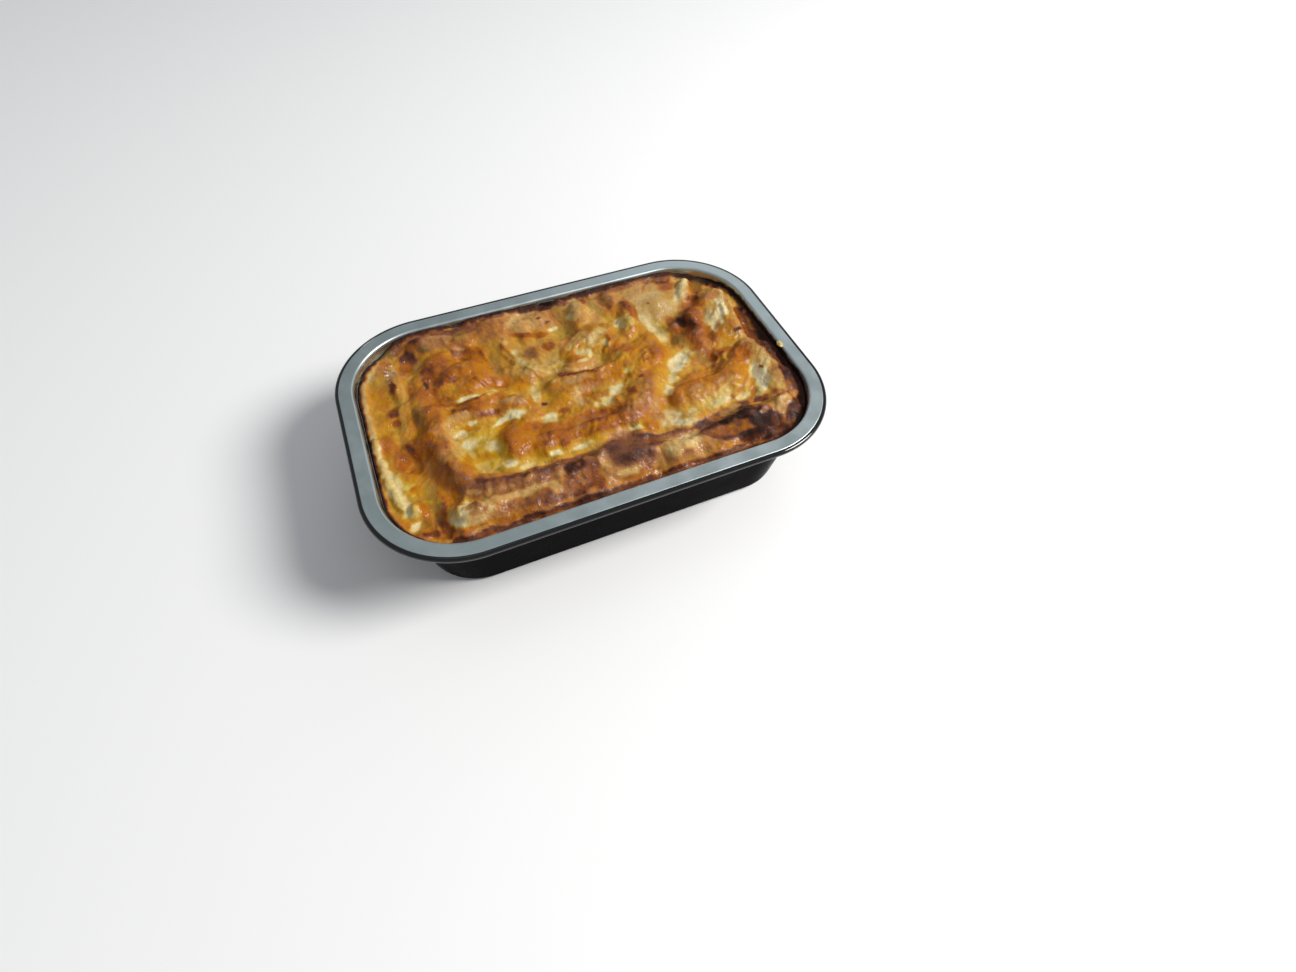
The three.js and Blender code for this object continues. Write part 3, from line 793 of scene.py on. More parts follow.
def soft_step(value, low, high):
    share = np.clip((value - low) / (high - low), 0, 1)
    return share * share * (3 - 2 * share)


def firm(share):
    """Turns a soft hill into a patch whose edge lies at the given half-size."""
    return soft_step(share, exp(-FALL_OFF * PATCH_END ** 3), exp(-FALL_OFF * PATCH_FULL ** 3))


def dab(done, skin, cx, cy, half_long, half_broad=None, turn=0, share=1.0):
    place = (cx, cy, half_long, half_broad or half_long, turn)
    return done, skin, lambda x, y: share * firm(oval(x, y, *place))


def stroke(done, skin, width, *through, share=1.0):
    path = [(px, py, 1) for px, py in through]
    return done, skin, lambda x, y: share * firm(along_path(x, y, path, width, width))


# %% The diner's line of sight
SHEET_LEVEL = TRAY_HEIGHT - 2


def on_sheet(x, y, z):
    """Where the diner's line of sight to a point crosses the level sheet."""
    share = (CAMERA_AT[2] - SHEET_LEVEL) / (CAMERA_AT[2] - z)
    return CAMERA_AT[0] + (x - CAMERA_AT[0]) * share, CAMERA_AT[1] + (y - CAMERA_AT[1]) * share


far_crest = [round(v, 1) for v in on_sheet(0, 60, TRAY_HEIGHT + 3)]
print("A crest at (0, 60) has the finish of the sheet at", far_crest)

# %% The painter's list
PAINT = []  # each mark: its doneness, its skin, and how much of it reaches a place


def paint(where, *marks):
    """Adds marks to the list. Where two of them meet, the later one goes on top."""
    PAINT.extend(marks)
    print(f"{where}: {len(marks)} marks")


# %% [markdown]
# ### Broad grounds
# First the large areas, as a painter lays in a ground: gold over the heap on the left, tan
# sauce along the far side, brown along the front roll, cream on the right.

# %% Broad grounds
paint(
    "broad grounds",
    dab(.40, .2, -97, 12, 6, 42), dab(.48, .1, -50, 25, 24, 28, 0, .8),
    dab(.30, .1, -55, -22, 16, 16, -20), dab(.46, .8, 0, 58, 62, 12, 0, .9),
    dab(.36, .8, 60, 48, 20, 20), dab(.36, .5, -15, 24, 22, 18, 0, .8),
    dab(.50, 0, 34, 12, 17, 20, 30), dab(.38, .3, 66, -30, 30, 10, 10),
    dab(.34, .6, 92, 20, 9, 30), dab(.28, .6, 92, -25, 10, 20), dab(.50, .7, -25, -55, 58, 11),
    dab(.42, .8, 32, -54, 22, 11), dab(.60, .1, 0, -25, 44, 9), dab(.34, .1, -10, -36, 32, 4),
    dab(.42, .2, -84, 25, 9, 32), dab(.38, 0, -13, 0, 11, 9), dab(.48, .2, 0, 3, 20, 7))

# %% [markdown]
# ### The strip along the left wall
# Pale sauce climbed the left wall and hardly browned. Beside it run orange cheese and, in the
# near corner, small cream curds with dark oil between them.

# %% Left wall and near corner
paint(
    "left wall and near corner",
    stroke(.24, .9, 1.6, (-97, 53), (-101, 42), (-101.5, 20), (-101.5, 2)),
    stroke(.10, .6, 1.7, (-101.5, 4), (-101, -8), (-99.5, -20)),
    dab(.26, .9, -96, 46, 3.6, 7, -20),
    stroke(.05, .5, 2.8, (-99.5, -20), (-98, -30), (-96, -38)),
    dab(.66, .1, -96, -3, 3.4, 7, 0, .9), dab(.62, .2, -93, -14, 3.4, 7),
    dab(.28, .3, -95, -23, 1.6, 4), dab(.28, .9, -92, 49, 5, 6),
    dab(.50, 0, -94, 28, 4, 9, 0, .7), dab(.44, 0, -95, 6, 3, 12, 0, .6),
    stroke(.30, .4, 1.8, (-87, 4), (-85, 16), (-84, 32), (-86, 48), share=.8),
    dab(.54, 0, -80, 10, 5, 14), dab(.78, .3, -90, 16, 3, 3.4), dab(.74, .3, -90, 9, 2.6, 3),
    dab(.76, .3, -87, 33, 2, 5), dab(.62, 0, -93, 22, 2.5, 4, 0, .6),
    dab(.66, .2, -92, 33, 2, 3, 0, .6), dab(.72, .1, -86, -12, 6, 9),
    dab(.60, .1, -86, -24, 4, 6), dab(.22, 0, -92, -31, 4, 7), dab(.10, .3, -97, -27, 3, 5),
    dab(.50, 0, -90, -25, 2.4, 3, 0, .8),
    stroke(.74, .2, 1.3, (-92.5, -5), (-92, -13), (-89, -22), share=.7),
    dab(.78, .2, -87, -9, 3, 3, 0, .7), dab(.44, .5, -89.5, -8, 1.2, 4, 10, .6),
    dab(.66, .1, -96, -2, 2.6, 5, 0, .9), dab(.74, .1, -91.5, -16, 2.4, 4, 0, .8),
    dab(.60, 0, -89, -32, 3, 3), dab(.02, .3, -93, -43, 4.4, 4.5), dab(.10, .3, -96, -36, 3, 3),
    dab(.66, 0, -88, -44, 2.6, 5), dab(.40, 0, -87, -36, 3.4, 11, 0, .8),
    dab(.60, 0, -88, -45, 2.8, 4, 0, .9), dab(.08, .4, -93, -52, 3.4, 2.6, 20),
    dab(.62, .1, -88, -52, 3, 4, 0, .9), dab(.16, .4, -84, -55, 2.6, 2, 0, .6),
    dab(.66, 0, -82, -44, 3.4, 12, 0, .8), dab(.68, 0, -77, -43, 3.4, 4, 0, .9),
    dab(.84, .2, -88, -57.5, 4, 2.4), dab(.72, .1, -84, -60, 4, 2.4, 0, .9),
    dab(.56, 0, -97, -49, 2, 3))

# %% [markdown]
# ### The left roll
# A broad roll comes down the left side. Its crest is orange-brown, and its inner slope, which
# faces the light, is painted pale as a painted highlight.

# %% Left roll
paint(
    "left roll",
    stroke(.62, .1, 7.5, (-77, 6), (-78, -8), (-77, -24), (-73, -34), (-66, -40)),
    dab(.50, 0, -83, -3, 4, 7, 0, .7), dab(.62, .1, -76, 8, 6, 7),
    dab(.56, .3, -79, -26, 4, 8, 15, .7),
    # painted highlight: pale strokes down the lit inner slope of the roll
    stroke(.52, .6, 2.6, (-73, 0), (-72, -12), (-71, -24), share=.8),
    stroke(.36, .8, 2, (-69.5, 0), (-68, -10), (-67, -20), share=.9),
    stroke(.70, .7, 1.6, (-71, -30), (-67, -36), (-60, -39), share=.8),
    dab(.72, .3, -72, -12, 1.4, 3, 0, .6), dab(.46, .9, -75, -18, 2, 5, 10, .7),
    dab(.48, .9, -73, -34, 3, 3, 30, .7), dab(.66, .3, -74, -45.5, 3, 2.6, 0, .9),
    dab(.40, .9, -70, -27, 2, 3, 30, .7))

# %% [markdown]
# ### The front roll
# The long roll turns the near left corner and runs along the front. It has a dark line on top,
# a pale band below it that is a painted highlight on the roll's rounded shoulder, and small
# burnt lumps at its foot.

# %% Front roll, left part
paint(
    "front roll, left part",
    # the roll's top is red-brown; its pinkish skin tone and the pink dabs on it are partly painted
    # sheen
    stroke(.66, .9, 4.4, (-68, -41), (-55, -44.5), (-40, -46), (-25, -46), (-8, -47)),
    stroke(.84, .8, 1.3, (-64, -38), (-50, -41.5), (-35, -42), (-8, -42.5), share=.8),
    dab(.46, .9, -41, -45, 3.4, 2, 0, .8), dab(.52, .9, -60, -45, 3, 1.6, -10, .7),
    dab(.34, .9, -66, -43, 3, 1.4, -30, .8), dab(.44, .9, -52, -46, 3.4, 1.2, -10, .7),
    dab(.42, .9, -28, -47.5, 3, 1.4, 0, .7), dab(.84, .7, -54, -42.5, 3, 1.4, -10, .7),
    dab(.86, .8, -33, -44, 4, 2, 0, .7), dab(.82, .6, -47, -49, 2, 2.6, 0, .6),
    # painted highlight: a pale band along the lit shoulder of the roll
    stroke(.30, .9, 2.6, (-66, -50), (-52, -51.5), (-34, -52), share=.8),
    dab(.62, .7, -45, -57, 20, 3.4, 0, .9), dab(.78, .6, -38, -55, 4, 3, 0, .7),
    dab(.74, .6, -56, -57, 3, 2.6, 0, .7), dab(.30, .9, -32, -54, 2.4, 4, 0, .8),
    dab(.76, .7, -34, -60, 6, 3), dab(.82, .6, -24, -60.5, 5, 3),
    dab(.54, .2, -50, -61.5, 9, 2, 0, .9), dab(.74, .6, -22, -55, 8, 7, 0, .9),
    dab(.86, .5, -19, -57, 4, 4, 0, .9), dab(.90, .7, -20, -46, 6, 3.6),
    dab(.80, .3, -14, -57, 4, 7), dab(.84, .7, -13, -49, 3, 5),
    dab(.44, .9, -20, -54, 1.4, 4, 0, .6), dab(.84, .4, -15, -51, 3, 3, 0, .85))

# %% [markdown]
# ### The tip of the roll
# At the corner lies a cream lump with a brown swirl, and beside it a dark olive dip. The lump is
# painted paler on its lit top and on its left end, which lies in shade: painted light.

# %% Tip of the roll
paint(
    "tip of the roll",
    stroke(.82, .1, 2.8, (-81.5, -46), (-83, -53), (-80, -61)),
    # painted light: the cream lump is painted paler on its lit top and on its shaded left end
    dab(.10, .9, -71, -54, 9.5, 6.5, -15), dab(0, .7, -76, -55, 4, 4.4, 0, .95),
    dab(.16, .9, -74, -50, 4, 2, 20, .8), dab(.50, .9, -67, -53, 4, 3, 0, .7),
    stroke(.62, .9, 1.2, (-71, -50.5), (-66, -50), (-64, -53), share=.8),
    stroke(.20, .9, 1.4, (-73, -58), (-67, -57), (-62, -54)),
    stroke(.62, .1, 2.2, (-78, -61.5), (-66, -62.5), (-55, -62), share=.9))

# %% [markdown]
# ### The burnt bubble
# One blister swelled up close to the heat. Its dome is dark and dull, and a ring of paler skin
# runs round its foot. The pale patch below it is a painted highlight.

# %% Burnt bubble
paint(
    "burnt bubble",
    dab(.76, .5, 6, -38, 9, 3), dab(.40, .9, 5, -47, 16, 13), dab(.73, 1, 5, -45.5, 13, 10.5),
    dab(.80, 1, 4, -43, 9, 5, 0, .7), dab(.77, 1, 9, -52, 6, 4, 0, .7),
    stroke(.44, .9, 1.1, (-9, -46), (-8.5, -51), (-4, -56.5), share=.9),
    dab(.85, 1, 14, -43.5, 5, 3, 0, .9),
    stroke(.34, .9, 1.3, (13, -57), (18.5, -52), (19.5, -46), share=.8),
    # painted highlight: the pale patch below the bubble
    dab(.24, .9, 1, -58, 7, 2.2), dab(.70, .8, 11, -57, 4, 2.6, 0, .9),
    dab(.70, .5, 11, -61, 5, 1.6, 0, .9), dab(.74, .9, 15, -53, 3, 4, 0, .8),
    dab(.60, .2, 3, -62.5, 9, 2))

# %% [markdown]
# ### The front roll's right part
# Past the bubble the roll is pale and pinkish, partly its own skin and partly painted sheen,
# with a thin dark line along its crest.

# %% Front roll, right part
paint(
    "front roll, right part",
    stroke(.82, .8, 1.2, (17, -42.5), (25, -45), (35, -46), (46, -45.5), share=.9),
    # partly painted sheen: the pale pink face of the roll
    dab(.20, .9, 31, -52, 11, 6), dab(.82, .7, 19.5, -46.5, 4, 4),
    dab(.60, .6, 19.5, -56, 1.6, 5, 0, .7), dab(.64, 1, 31, -47, 7, 2.4, 0, .9),
    dab(.70, .8, 23, -46.5, 3, 2.4, 0, .8), dab(.50, .7, 41, -58, 5, 4),
    dab(.10, .9, 24, -56, 4, 4, 0, .9), dab(.58, .9, 31, -58, 3, 2, 0, .7),
    dab(.45, .1, 48, -61.5, 6, 2))

# %% [markdown]
# ### The burnt lump
# The roll ends in a lump that is nearly black on top and lighter on its near right side.

# %% Burnt lump
paint(
    "burnt lump",
    dab(.66, .9, 48, -49, 8, 6), stroke(.90, .9, 4.6, (44, -47), (56, -46), (66, -46), (76, -50)),
    dab(.92, .9, 76, -53, 8, 7, -35), dab(.88, .8, 66, -42, 8, 3, 5),
    dab(.70, .4, 52, -54.5, 7, 4, -20), dab(.72, .6, 52, -45, 4, 2.2, 0, .9),
    # painted highlights: the two pale dabs on the burnt lump's far edge
    dab(.46, .9, 59, -43.5, 6, 2, 5, .9), dab(.30, .9, 63.5, -41, 3, 1.6, 5, .9),
    dab(.50, .9, 77, -48, 4, 2, 30, .8), dab(.66, .8, 60, -51, 3, 3, 20, .8),
    stroke(.80, .6, 1.6, (43, -51), (49, -57.5), (60, -58.5), share=.9),
    dab(.95, .7, 70, -54, 5, 4), dab(.60, .9, 70, -48, 3, 1.4, 15, .7),
    dab(1, .6, 71, -62, 14, 5), dab(.90, .3, 62, -61, 6, 5), dab(.40, .9, 87, -47, 8, 5.5, 30),
    dab(.22, .9, 88, -44, 5, 3, 30, .8), dab(.28, .9, 85, -51, 4, 2.6, 30, .9),
    dab(.74, .9, 89, -54, 6, 3, 35), dab(.84, .8, 90, -56, 6, 4, 40),
    dab(.86, .5, 77, -41, 8, 1.8))

# %% [markdown]
# ### The lower right slope
# Behind the lump the crust slopes up in bands of orange and cream to the right wall, where a
# dark outline follows the shrink groove: partly burnt crust, partly painted shadow in the groove.

# %% Lower right slope
paint(
    "lower right slope",
    dab(.56, .1, 58, -18, 19, 6, 5), dab(.50, .1, 66, -16, 5, 3, 0, .8),
    # painted highlights: the pink dabs on the crest and the pale and white dabs near the front roll
    dab(.44, .9, 52, -23, 5, 2.4, 10), dab(.42, .9, 66, -23, 6, 2, 15),
    dab(.22, .9, 31, -36, 8, 5, 10), dab(.03, .6, 37, -41, 8, 3),
    dab(.60, .8, 26, -32, 4, 4, 0, .7), dab(.24, .3, 60, -32, 16, 4, 15),
    dab(.16, .4, 58, -36, 8, 2.4, 15, .9), dab(.40, 0, 72, -30, 6, 4, 30),
    stroke(.44, .2, 1.2, (50, -30), (62, -27), (72, -22)), dab(.10, .5, 70, -37, 6, 2, 10, .8),
    stroke(.20, .6, 1.0, (58, -30), (70, -25), (80, -17)), dab(.10, .6, 43, -37, 4, 3, 10, .8),
    stroke(.60, .3, .9, (64, -36), (74, -31), (80, -24)), dab(.50, 0, 79, -20, 6, 5, 30),
    dab(.02, .4, 83.5, -34, 3.2, 5, -20), dab(.12, .7, 79, -37, 3, 3, 0, .9),
    # painted light: the cream dab at (87, -26) on this line also lightens a slope that lies in
    # shade
    stroke(.56, .2, 1.3, (73, -41), (78, -34), (81, -28)), dab(0, .7, 87, -26, 6, 8),
    dab(.22, .8, 94, -16, 4, 10), dab(.85, .4, 88.5, -22, 1.2), dab(.30, .8, 94, -29, 3.4, 8),
    dab(.72, .5, 89, -41, 4, 2.6, 0, .9),
    # partly painted shadow: the dark strokes along the shrink groove
    stroke(.88, .5, 2.2, (94, -43), (98.5, -33), (100, -22), (100, -10), (97.5, 4), share=.95),
    stroke(.90, .6, 2.3, (91.5, -52), (95.5, -47.5), (99, -40), (101, -34), (102, -26),
           (102.5, -16), (101.5, -2)), dab(.88, .7, 85.5, -57.5, 4.4, 2.4, 35, .9),
    dab(.46, .9, 95.5, -44, 2.2, 2.8, 20, .8), dab(.58, .6, 95, -38, 2.4, 4, -20, .8),
    dab(.66, .4, 96, -24, 1.4, 4, 0, .5), dab(.64, 0, 84, -11, 8, 5, 25),
    stroke(.70, .1, 2.2, (74, -3), (82, -5), (90, -4), share=.9),
    dab(.78, .2, 68, -12, 3, 1.8, 20))

# %% [markdown]
# ### The right side
# A brown slope with a burnt hole leads up to a pale bank of stretched strands by the wall.

# %% Brown slope and pale bank
paint(
    "brown slope and pale bank",
    dab(.70, 0, 67, -4, 8, 9), dab(.68, .2, 62, -6, 2.6, 6, 0, .8), dab(.70, .1, 71, 12, 9, 11),
    dab(.72, .3, 73, 27, 8, 9), dab(.66, .1, 78, 34, 6, 5), dab(.72, .4, 60, 26, 3, 7),
    dab(.92, .7, 65.5, 24, 3.4, 5), dab(.78, .4, 70, 20, 2.4, 4),
    dab(.60, .1, 72, 28, 3, 3, 0, .8), dab(.78, .3, 73, 36, 6, 3, 0, .8),
    dab(.50, .5, 71, 4, 3, 6, 10, .7),
    stroke(.40, .4, 1.1, (64, -10), (70, -11), (75, -7), share=.8),
    dab(.14, .9, 82, 22, 5, 9, -15, .9), stroke(.14, .9, 1.5, (80, 12), (86, 25)),
    stroke(.14, .9, 2, (86, 16), (93, 34)), stroke(.10, .9, 2, (91, 22), (97, 40)),
    dab(.60, .8, 80, 27, 2, 3, -20, .7), dab(.56, .8, 84, 16, 1.4, 3, -20, .7),
    dab(.44, 0, 85, 6, 5, 7), dab(.50, 0, 90, 15, 3, 6, 0, .8), dab(.88, .3, 91.5, 8, 2.6, 2),
    # partly painted shadow: the dark stroke along the gap by the right wall
    stroke(.84, .3, 2.6, (98.5, 22), (97, 10), (95.5, 3), (98, -7)),
    dab(.42, .8, 96, 30, 2, 8, -10, .6))

# %% [markdown]
# ### The far right corner
# Here the sauce's skin is smooth and creamy. Two ridges slant across it into the corner. The
# white along one of them is a painted highlight.

# %% Smooth sauce and ridges
paint(
    "smooth sauce and ridges",
    dab(.24, .9, 60, 45, 15, 13), dab(.36, .9, 56, 58, 12, 5), dab(.16, .8, 50, 33, 4, 8, 10, .7),
    stroke(.62, .8, .7, (55, 54), (57, 58), (58.5, 60), share=.6), dab(.80, .5, 55, 45, 1, .8),
    dab(.70, .1, 70, 55, 5, 8), dab(.88, .2, 70, 61, 5, 4), dab(.42, .6, 69, 47.5, 5, 4, 20, .8),
    # painted highlight: the white stroke and dab along the slanting ridge
    stroke(.05, .7, 3.2, (73, 44), (79, 52), (83, 59)), dab(.10, .7, 80, 47, 3, 3, 0, .8),
    dab(.82, .5, 80, 40, 4, 3), dab(.80, .1, 85, 48, 4, 7, -20), dab(.50, .7, 91, 39, 6, 4),
    dab(.86, .6, 90, 54, 6, 3, -45), dab(.74, .8, 78, 66, 2.4, 4),
    dab(.24, .8, 74, 64, 1.2, 3, 0, .7))

# %% [markdown]
# ### The far middle
# Low ridges of sauce with green oil between them, tan on top and hardly browned.

# %% Far middle
paint(
    "far middle",
    dab(.58, .6, -35, 57, 9, 8), dab(.52, .5, -25, 54, 5, 7, 0, .8), dab(.28, .9, -18, 59, 5, 8),
    dab(.34, .9, -8, 56, 6, 6), dab(.32, .9, -16, 50, 6, 4, 0, .7), dab(.80, .6, -5, 56, 1.6, .8),
    dab(.80, .6, -2, 51, 1.6, .9), dab(.72, .5, -24, 59.5, 1.5, 1),
    stroke(.70, .1, 2.2, (-22, 47.5), (-15, 45.5), (-7, 42.5)), dab(.04, .8, -1, 44.4, 4, 1.4),
    dab(.62, .4, 6, 54, 5, 10), dab(.50, .4, 8, 40, 5, 5), dab(.08, .7, 11.5, 50, 3.2, 5, 0, .95),
    dab(.22, .9, 16, 57, 5, 9), dab(.30, .5, 21, 50, 4, 8), dab(.78, .3, 22.5, 61, 1.6, 3),
    dab(.46, .8, 24, 44, 4, 4, 0, .8), dab(.72, .4, 34, 56, 4.4, 8),
    dab(.70, .1, 43.5, 45, 3.4, 10), dab(.12, .5, 40, 37, 3, 6), dab(.48, .1, 36, 44, 3, 6),
    # painted light: the pale dab at (36, 35) lightens a place that lies in shade
    dab(.10, .1, 36, 35, 5, 6, 0, .95), dab(.32, .8, 48, 55, 3, 8, 0, .7))

# %% [markdown]
# ### The middle
# Gold cheese with broken pale strands over it. Many small marks work better here than a few
# large ones. Some of the pale marks are painted highlights, and some lighten places in shade.

# %% Middle
paint(
    "middle",
    # painted highlights: the pale pink dab on the slanting fold and the small white dab below it
    dab(.62, .3, 9, 34, 9, 4, 20), dab(.22, .9, 16, 31, 7, 3.4, 15),
    dab(.56, .1, 25.5, 27, 2, 3.4), dab(.18, .5, 22, 34, 4, 3, 0, .9),
    dab(.10, .6, 22, 23.5, 3.4, 1.4, 10), dab(.50, 0, 1, 21.5, 4.6, 4),
    dab(.64, 0, 4.5, 19, 2.6, 2.6), dab(.42, .7, 9, 13, 6, 3.4, 20),
    dab(.10, .6, 11, 20, 2, 4, -15), dab(.40, .1, 17, 18, 4, 4), dab(.74, .3, -17, 31, 4, 5),
    dab(.66, .1, -7, 33, 4, 3), dab(.24, .8, -20, 20, 6, 4, 0, .8),
    dab(.28, .7, -9, 21, 5, 4, 0, .8), dab(.16, .8, -25, 35, 3, 3),
    dab(.18, .8, -23, 27, 2, 4, 20),
    stroke(.22, .8, 1.1, (-21, 22), (-14, 15), (-5, 14), (2, 11), share=.8),
    dab(.56, 0, -25, -1, 3.4, 3.4, 0, .95),
    # painted light: the pale stroke lightens the slanting fold's shaded flank
    stroke(.22, .6, 2, (2, 27), (8, 33), (14, 36), share=.8), dab(.30, .5, -4, 27, 3, 4, 20, .8),
    dab(.46, .1, -1, 24, 3, 5, 30, .8), dab(.34, .2, -6, 17, 4, 3, 0, .7),
    dab(.16, .7, 15, 26, 3.4, 3, 0, .8), dab(.14, .8, 7, 22, 3, 3, 20, .8),
    dab(.20, .8, -28, 45, 2, 3, 20, .8), dab(.50, .1, -30, 30, 3, 6, 0, .7),
    dab(.72, .2, -36, 28, 3, 9), dab(.64, 0, -37, 17, 5, 6), dab(.50, 0, -29, 12, 5, 6),
    stroke(.74, .4, 1.0, (-9, 11), (0, 9), (10, 7.5)), dab(.36, .9, -2, 5, 8, 3, -8),
    dab(.60, .1, 4, 0, 8, 3.4), dab(.50, .9, 3, -3, 6, 2.4, 20, .8),
    dab(.24, .8, -3, -1, 3, 3, 0, .8), dab(.64, .1, 28, 15, 7, 6),
    dab(.44, 0, 33, 7, 6, 6, 0, .9), dab(.62, .1, 33, -5, 4, 3.4), dab(.54, 0, 20, 2, 6, 6),
    dab(.42, .2, 35, 26, 7, 8, 20, .9), dab(.70, .2, 38, 5, 2, 2), dab(.58, .1, 44, 9, 4, 7),
    dab(.78, .1, 61, 18, 2.6, 4, 0, .9), dab(.44, .4, 28, 5, 4, 3, 0, .6),
    dab(.30, .1, 25, 12.5, 5, 4, 0, .9), dab(.10, .1, 25.5, 1.5, 4.4, 3, 0, .9),
    # painted light: the pale dab at (36, 35) lightens a place that lies in shade
    dab(.12, .1, 36, 35, 4, 5, 0, .95), dab(.24, .7, -12, 8.5, 3, 2, 0, .8),
    dab(.30, 0, -46.5, -20, 3.4, 5, 0, .95), dab(.56, 0, -24.5, -11, 2.4, 2, 0, .8),
    dab(.56, 0, -25, -1.5, 2.4, 2.6, 0, .9), dab(.14, .5, 20.5, 26, 2.6, 2.4, 0, .9),
    dab(.12, .9, 6, 16.5, 3, 1.6, 0, .9), dab(.48, .1, -21.5, 0, 1.8, 3, 0, .8))

# %% [markdown]
# ### The pale valley and its pool
# The valleys between the folds were shaded from the heat, so they stayed cream.

# %% Pale valley and pool
paint(
    "pale valley and pool",
    stroke(.16, .8, 2.5, (48, 44), (47.5, 34), (49, 24), share=.95),
    dab(.14, .6, 51, 19, 3.4, 7, 0, .9), dab(.06, .7, 48, 26, 1.8, 3.4, 0, .8),
    dab(.62, .2, 56, 12, 3.4, 4), dab(.74, .4, 57, 7, 1.8), dab(.10, .4, 51, -3, 8.5, 5, 38),
    dab(0, .9, 52, -4, 7, 4, 35, 1), dab(.14, .4, 44, -12, 3, 5, -40),
    dab(.06, .5, 38, -20, 2.6, 4, -40), dab(.02, .6, 47, -7, 2, 2.4, 0, .8),
    dab(.18, .5, 59, 1, 3, 4), dab(.44, .3, 47, -12, 1.6, 2, 30, .7),
    dab(.36, .1, 55, -6, 2, 1.6, 20, .7))

# %% [markdown]
# ### The orange heap and the far left
# A heap of melted cheese, orange all over, with a red-brown dip and dark spots behind it.

# %% Orange heap and far left
paint(
    "orange heap and far left",
    dab(.56, 0, -50, 32, 15, 12, 10), dab(.66, .1, -62, 38, 6, 13), dab(.76, .1, -69, 35, 4, 8),
    dab(.72, .2, -66, 28, 3.4, 4), dab(.76, .2, -58, 28, 3, 2.4), dab(.66, 0, -45, 42, 7, 6),
    dab(.74, .1, -52, 43, 4, 3, 0, .8), dab(.66, .2, -72, 21, 5, 7), dab(.42, .1, -61, 21, 6, 5),
    dab(.50, 0, -50, 18, 7, 4), dab(.52, 0, -40, 20, 4, 5), dab(.44, .4, -50, 36, 4, 2, 10, .6),
    dab(.44, .4, -55, 25, 3, 2, 0, .5), dab(.80, .8, -76, 50, 4.6, 6.5),
    dab(.72, .8, -66, 55, 4.4, 4), dab(.74, .7, -51, 46, 5, 4), dab(.54, 1, -61, 60, 9.5, 8),
    dab(.40, 1, -61, 64, 4, 3, 0, .7), dab(.70, .8, -71, 65, 7, 4), dab(.76, .5, -46, 61, 7, 4.5),
    dab(.74, .6, -82, 58, 6, 4, 35), dab(.68, .3, -88, 50, 3, 4),
    dab(.46, .4, -83, 41, 6, 6, 0, .7),
    stroke(.26, .8, 1.2, (-85, 45), (-80, 40), (-74, 42), share=.7),
    stroke(.24, .8, 1.2, (-56, 55), (-53, 50), (-48, 47), share=.7), dab(.56, .3, -44, 53, 5, 3),
    dab(.62, .1, -78, 26, 4, 6), dab(.60, .2, -79, 43, 4, 5, 0, .8),
    dab(.62, .4, -90, 47, 4, 5, 0, .9), dab(.76, .2, -78, 44, 3, 4, 0, .8),
    dab(.20, .9, -96, 46, 2.6, 6, -20, .9), dab(.95, .8, -71.5, 28, 1.8, 3),
    dab(.64, .1, -67, 14, 5, 4), dab(.02, .6, -55, 12.6, 6, 1.8), dab(.16, .3, -43, 12, 2.4, 1.8),
    dab(.64, 0, -41, 19.5, 4.4, 4.4, 0, .95),
    stroke(.76, .3, 1.1, (-68, 13), (-60, 10), (-50, 11), share=.8))

# %% [markdown]
# ### The middle fold and the pool under it
# An orange fold whose near side is painted pale as a painted highlight, then a pool of cream
# with a browned dome in it.

# %% Middle fold, left
paint(
    "middle fold, left",
    dab(.60, 0, -55, 6, 12, 4), dab(.80, .3, -58, 5.5, 2, 1.6), dab(.78, .3, -63, 7, 1.5, 1.2),
    # painted highlights: the pale pink dabs on the fold's near side and the white dab below them
    dab(.58, 0, -42, 6, 7, 4), dab(.34, .9, -35, 3, 8, 2.6, -15),
    dab(.30, .8, -62, 2, 7, 3.4, 15), dab(.03, .5, -57, -3, 2.8, 1.7), dab(.56, 0, -60, -7, 4, 2),
    dab(.74, .3, -48, -1, 6, 2.6), dab(.40, .9, -54, 1, 3, 1.4, 10, .8))

# %% Pool under the middle fold
paint(
    "pool under the middle fold",
    dab(.22, 0, -58, -19, 9, 8, -20), dab(.26, 0, -52, -32, 9, 4, -15),
    # the white dab at (-64, -9) is a cream strand and partly a painted highlight
    dab(.03, .6, -64, -9, 3.2, 2.4), dab(.08, .5, -62, -16, 3.4, 3), dab(.10, .5, -52, -21, 4, 3),
    dab(.40, 0, -57, -26, 5, 3), dab(.04, .5, -47, -34, 4, 2, -20), dab(.54, .1, -65, -28, 3, 6),
    dab(.14, .4, -41, -38, 4, 1.4), dab(.52, 0, -39, -20, 9.5, 12),
    dab(.60, 0, -41, -15, 5, 6, 0, .8), dab(.16, 0, -48, -24, 3, 6, 0, .95),
    dab(.68, .1, -30, -17, 7, 4), dab(.02, .6, -37, -6, 6, 4), dab(.02, .6, -44, -8, 5, 1.8, 25),
    dab(.46, .2, -38, -10, 2, 1.4, 20))

# %% [markdown]
# ### The inner fold
# The last fold before the front roll is deep orange. The valley between the two is pale.

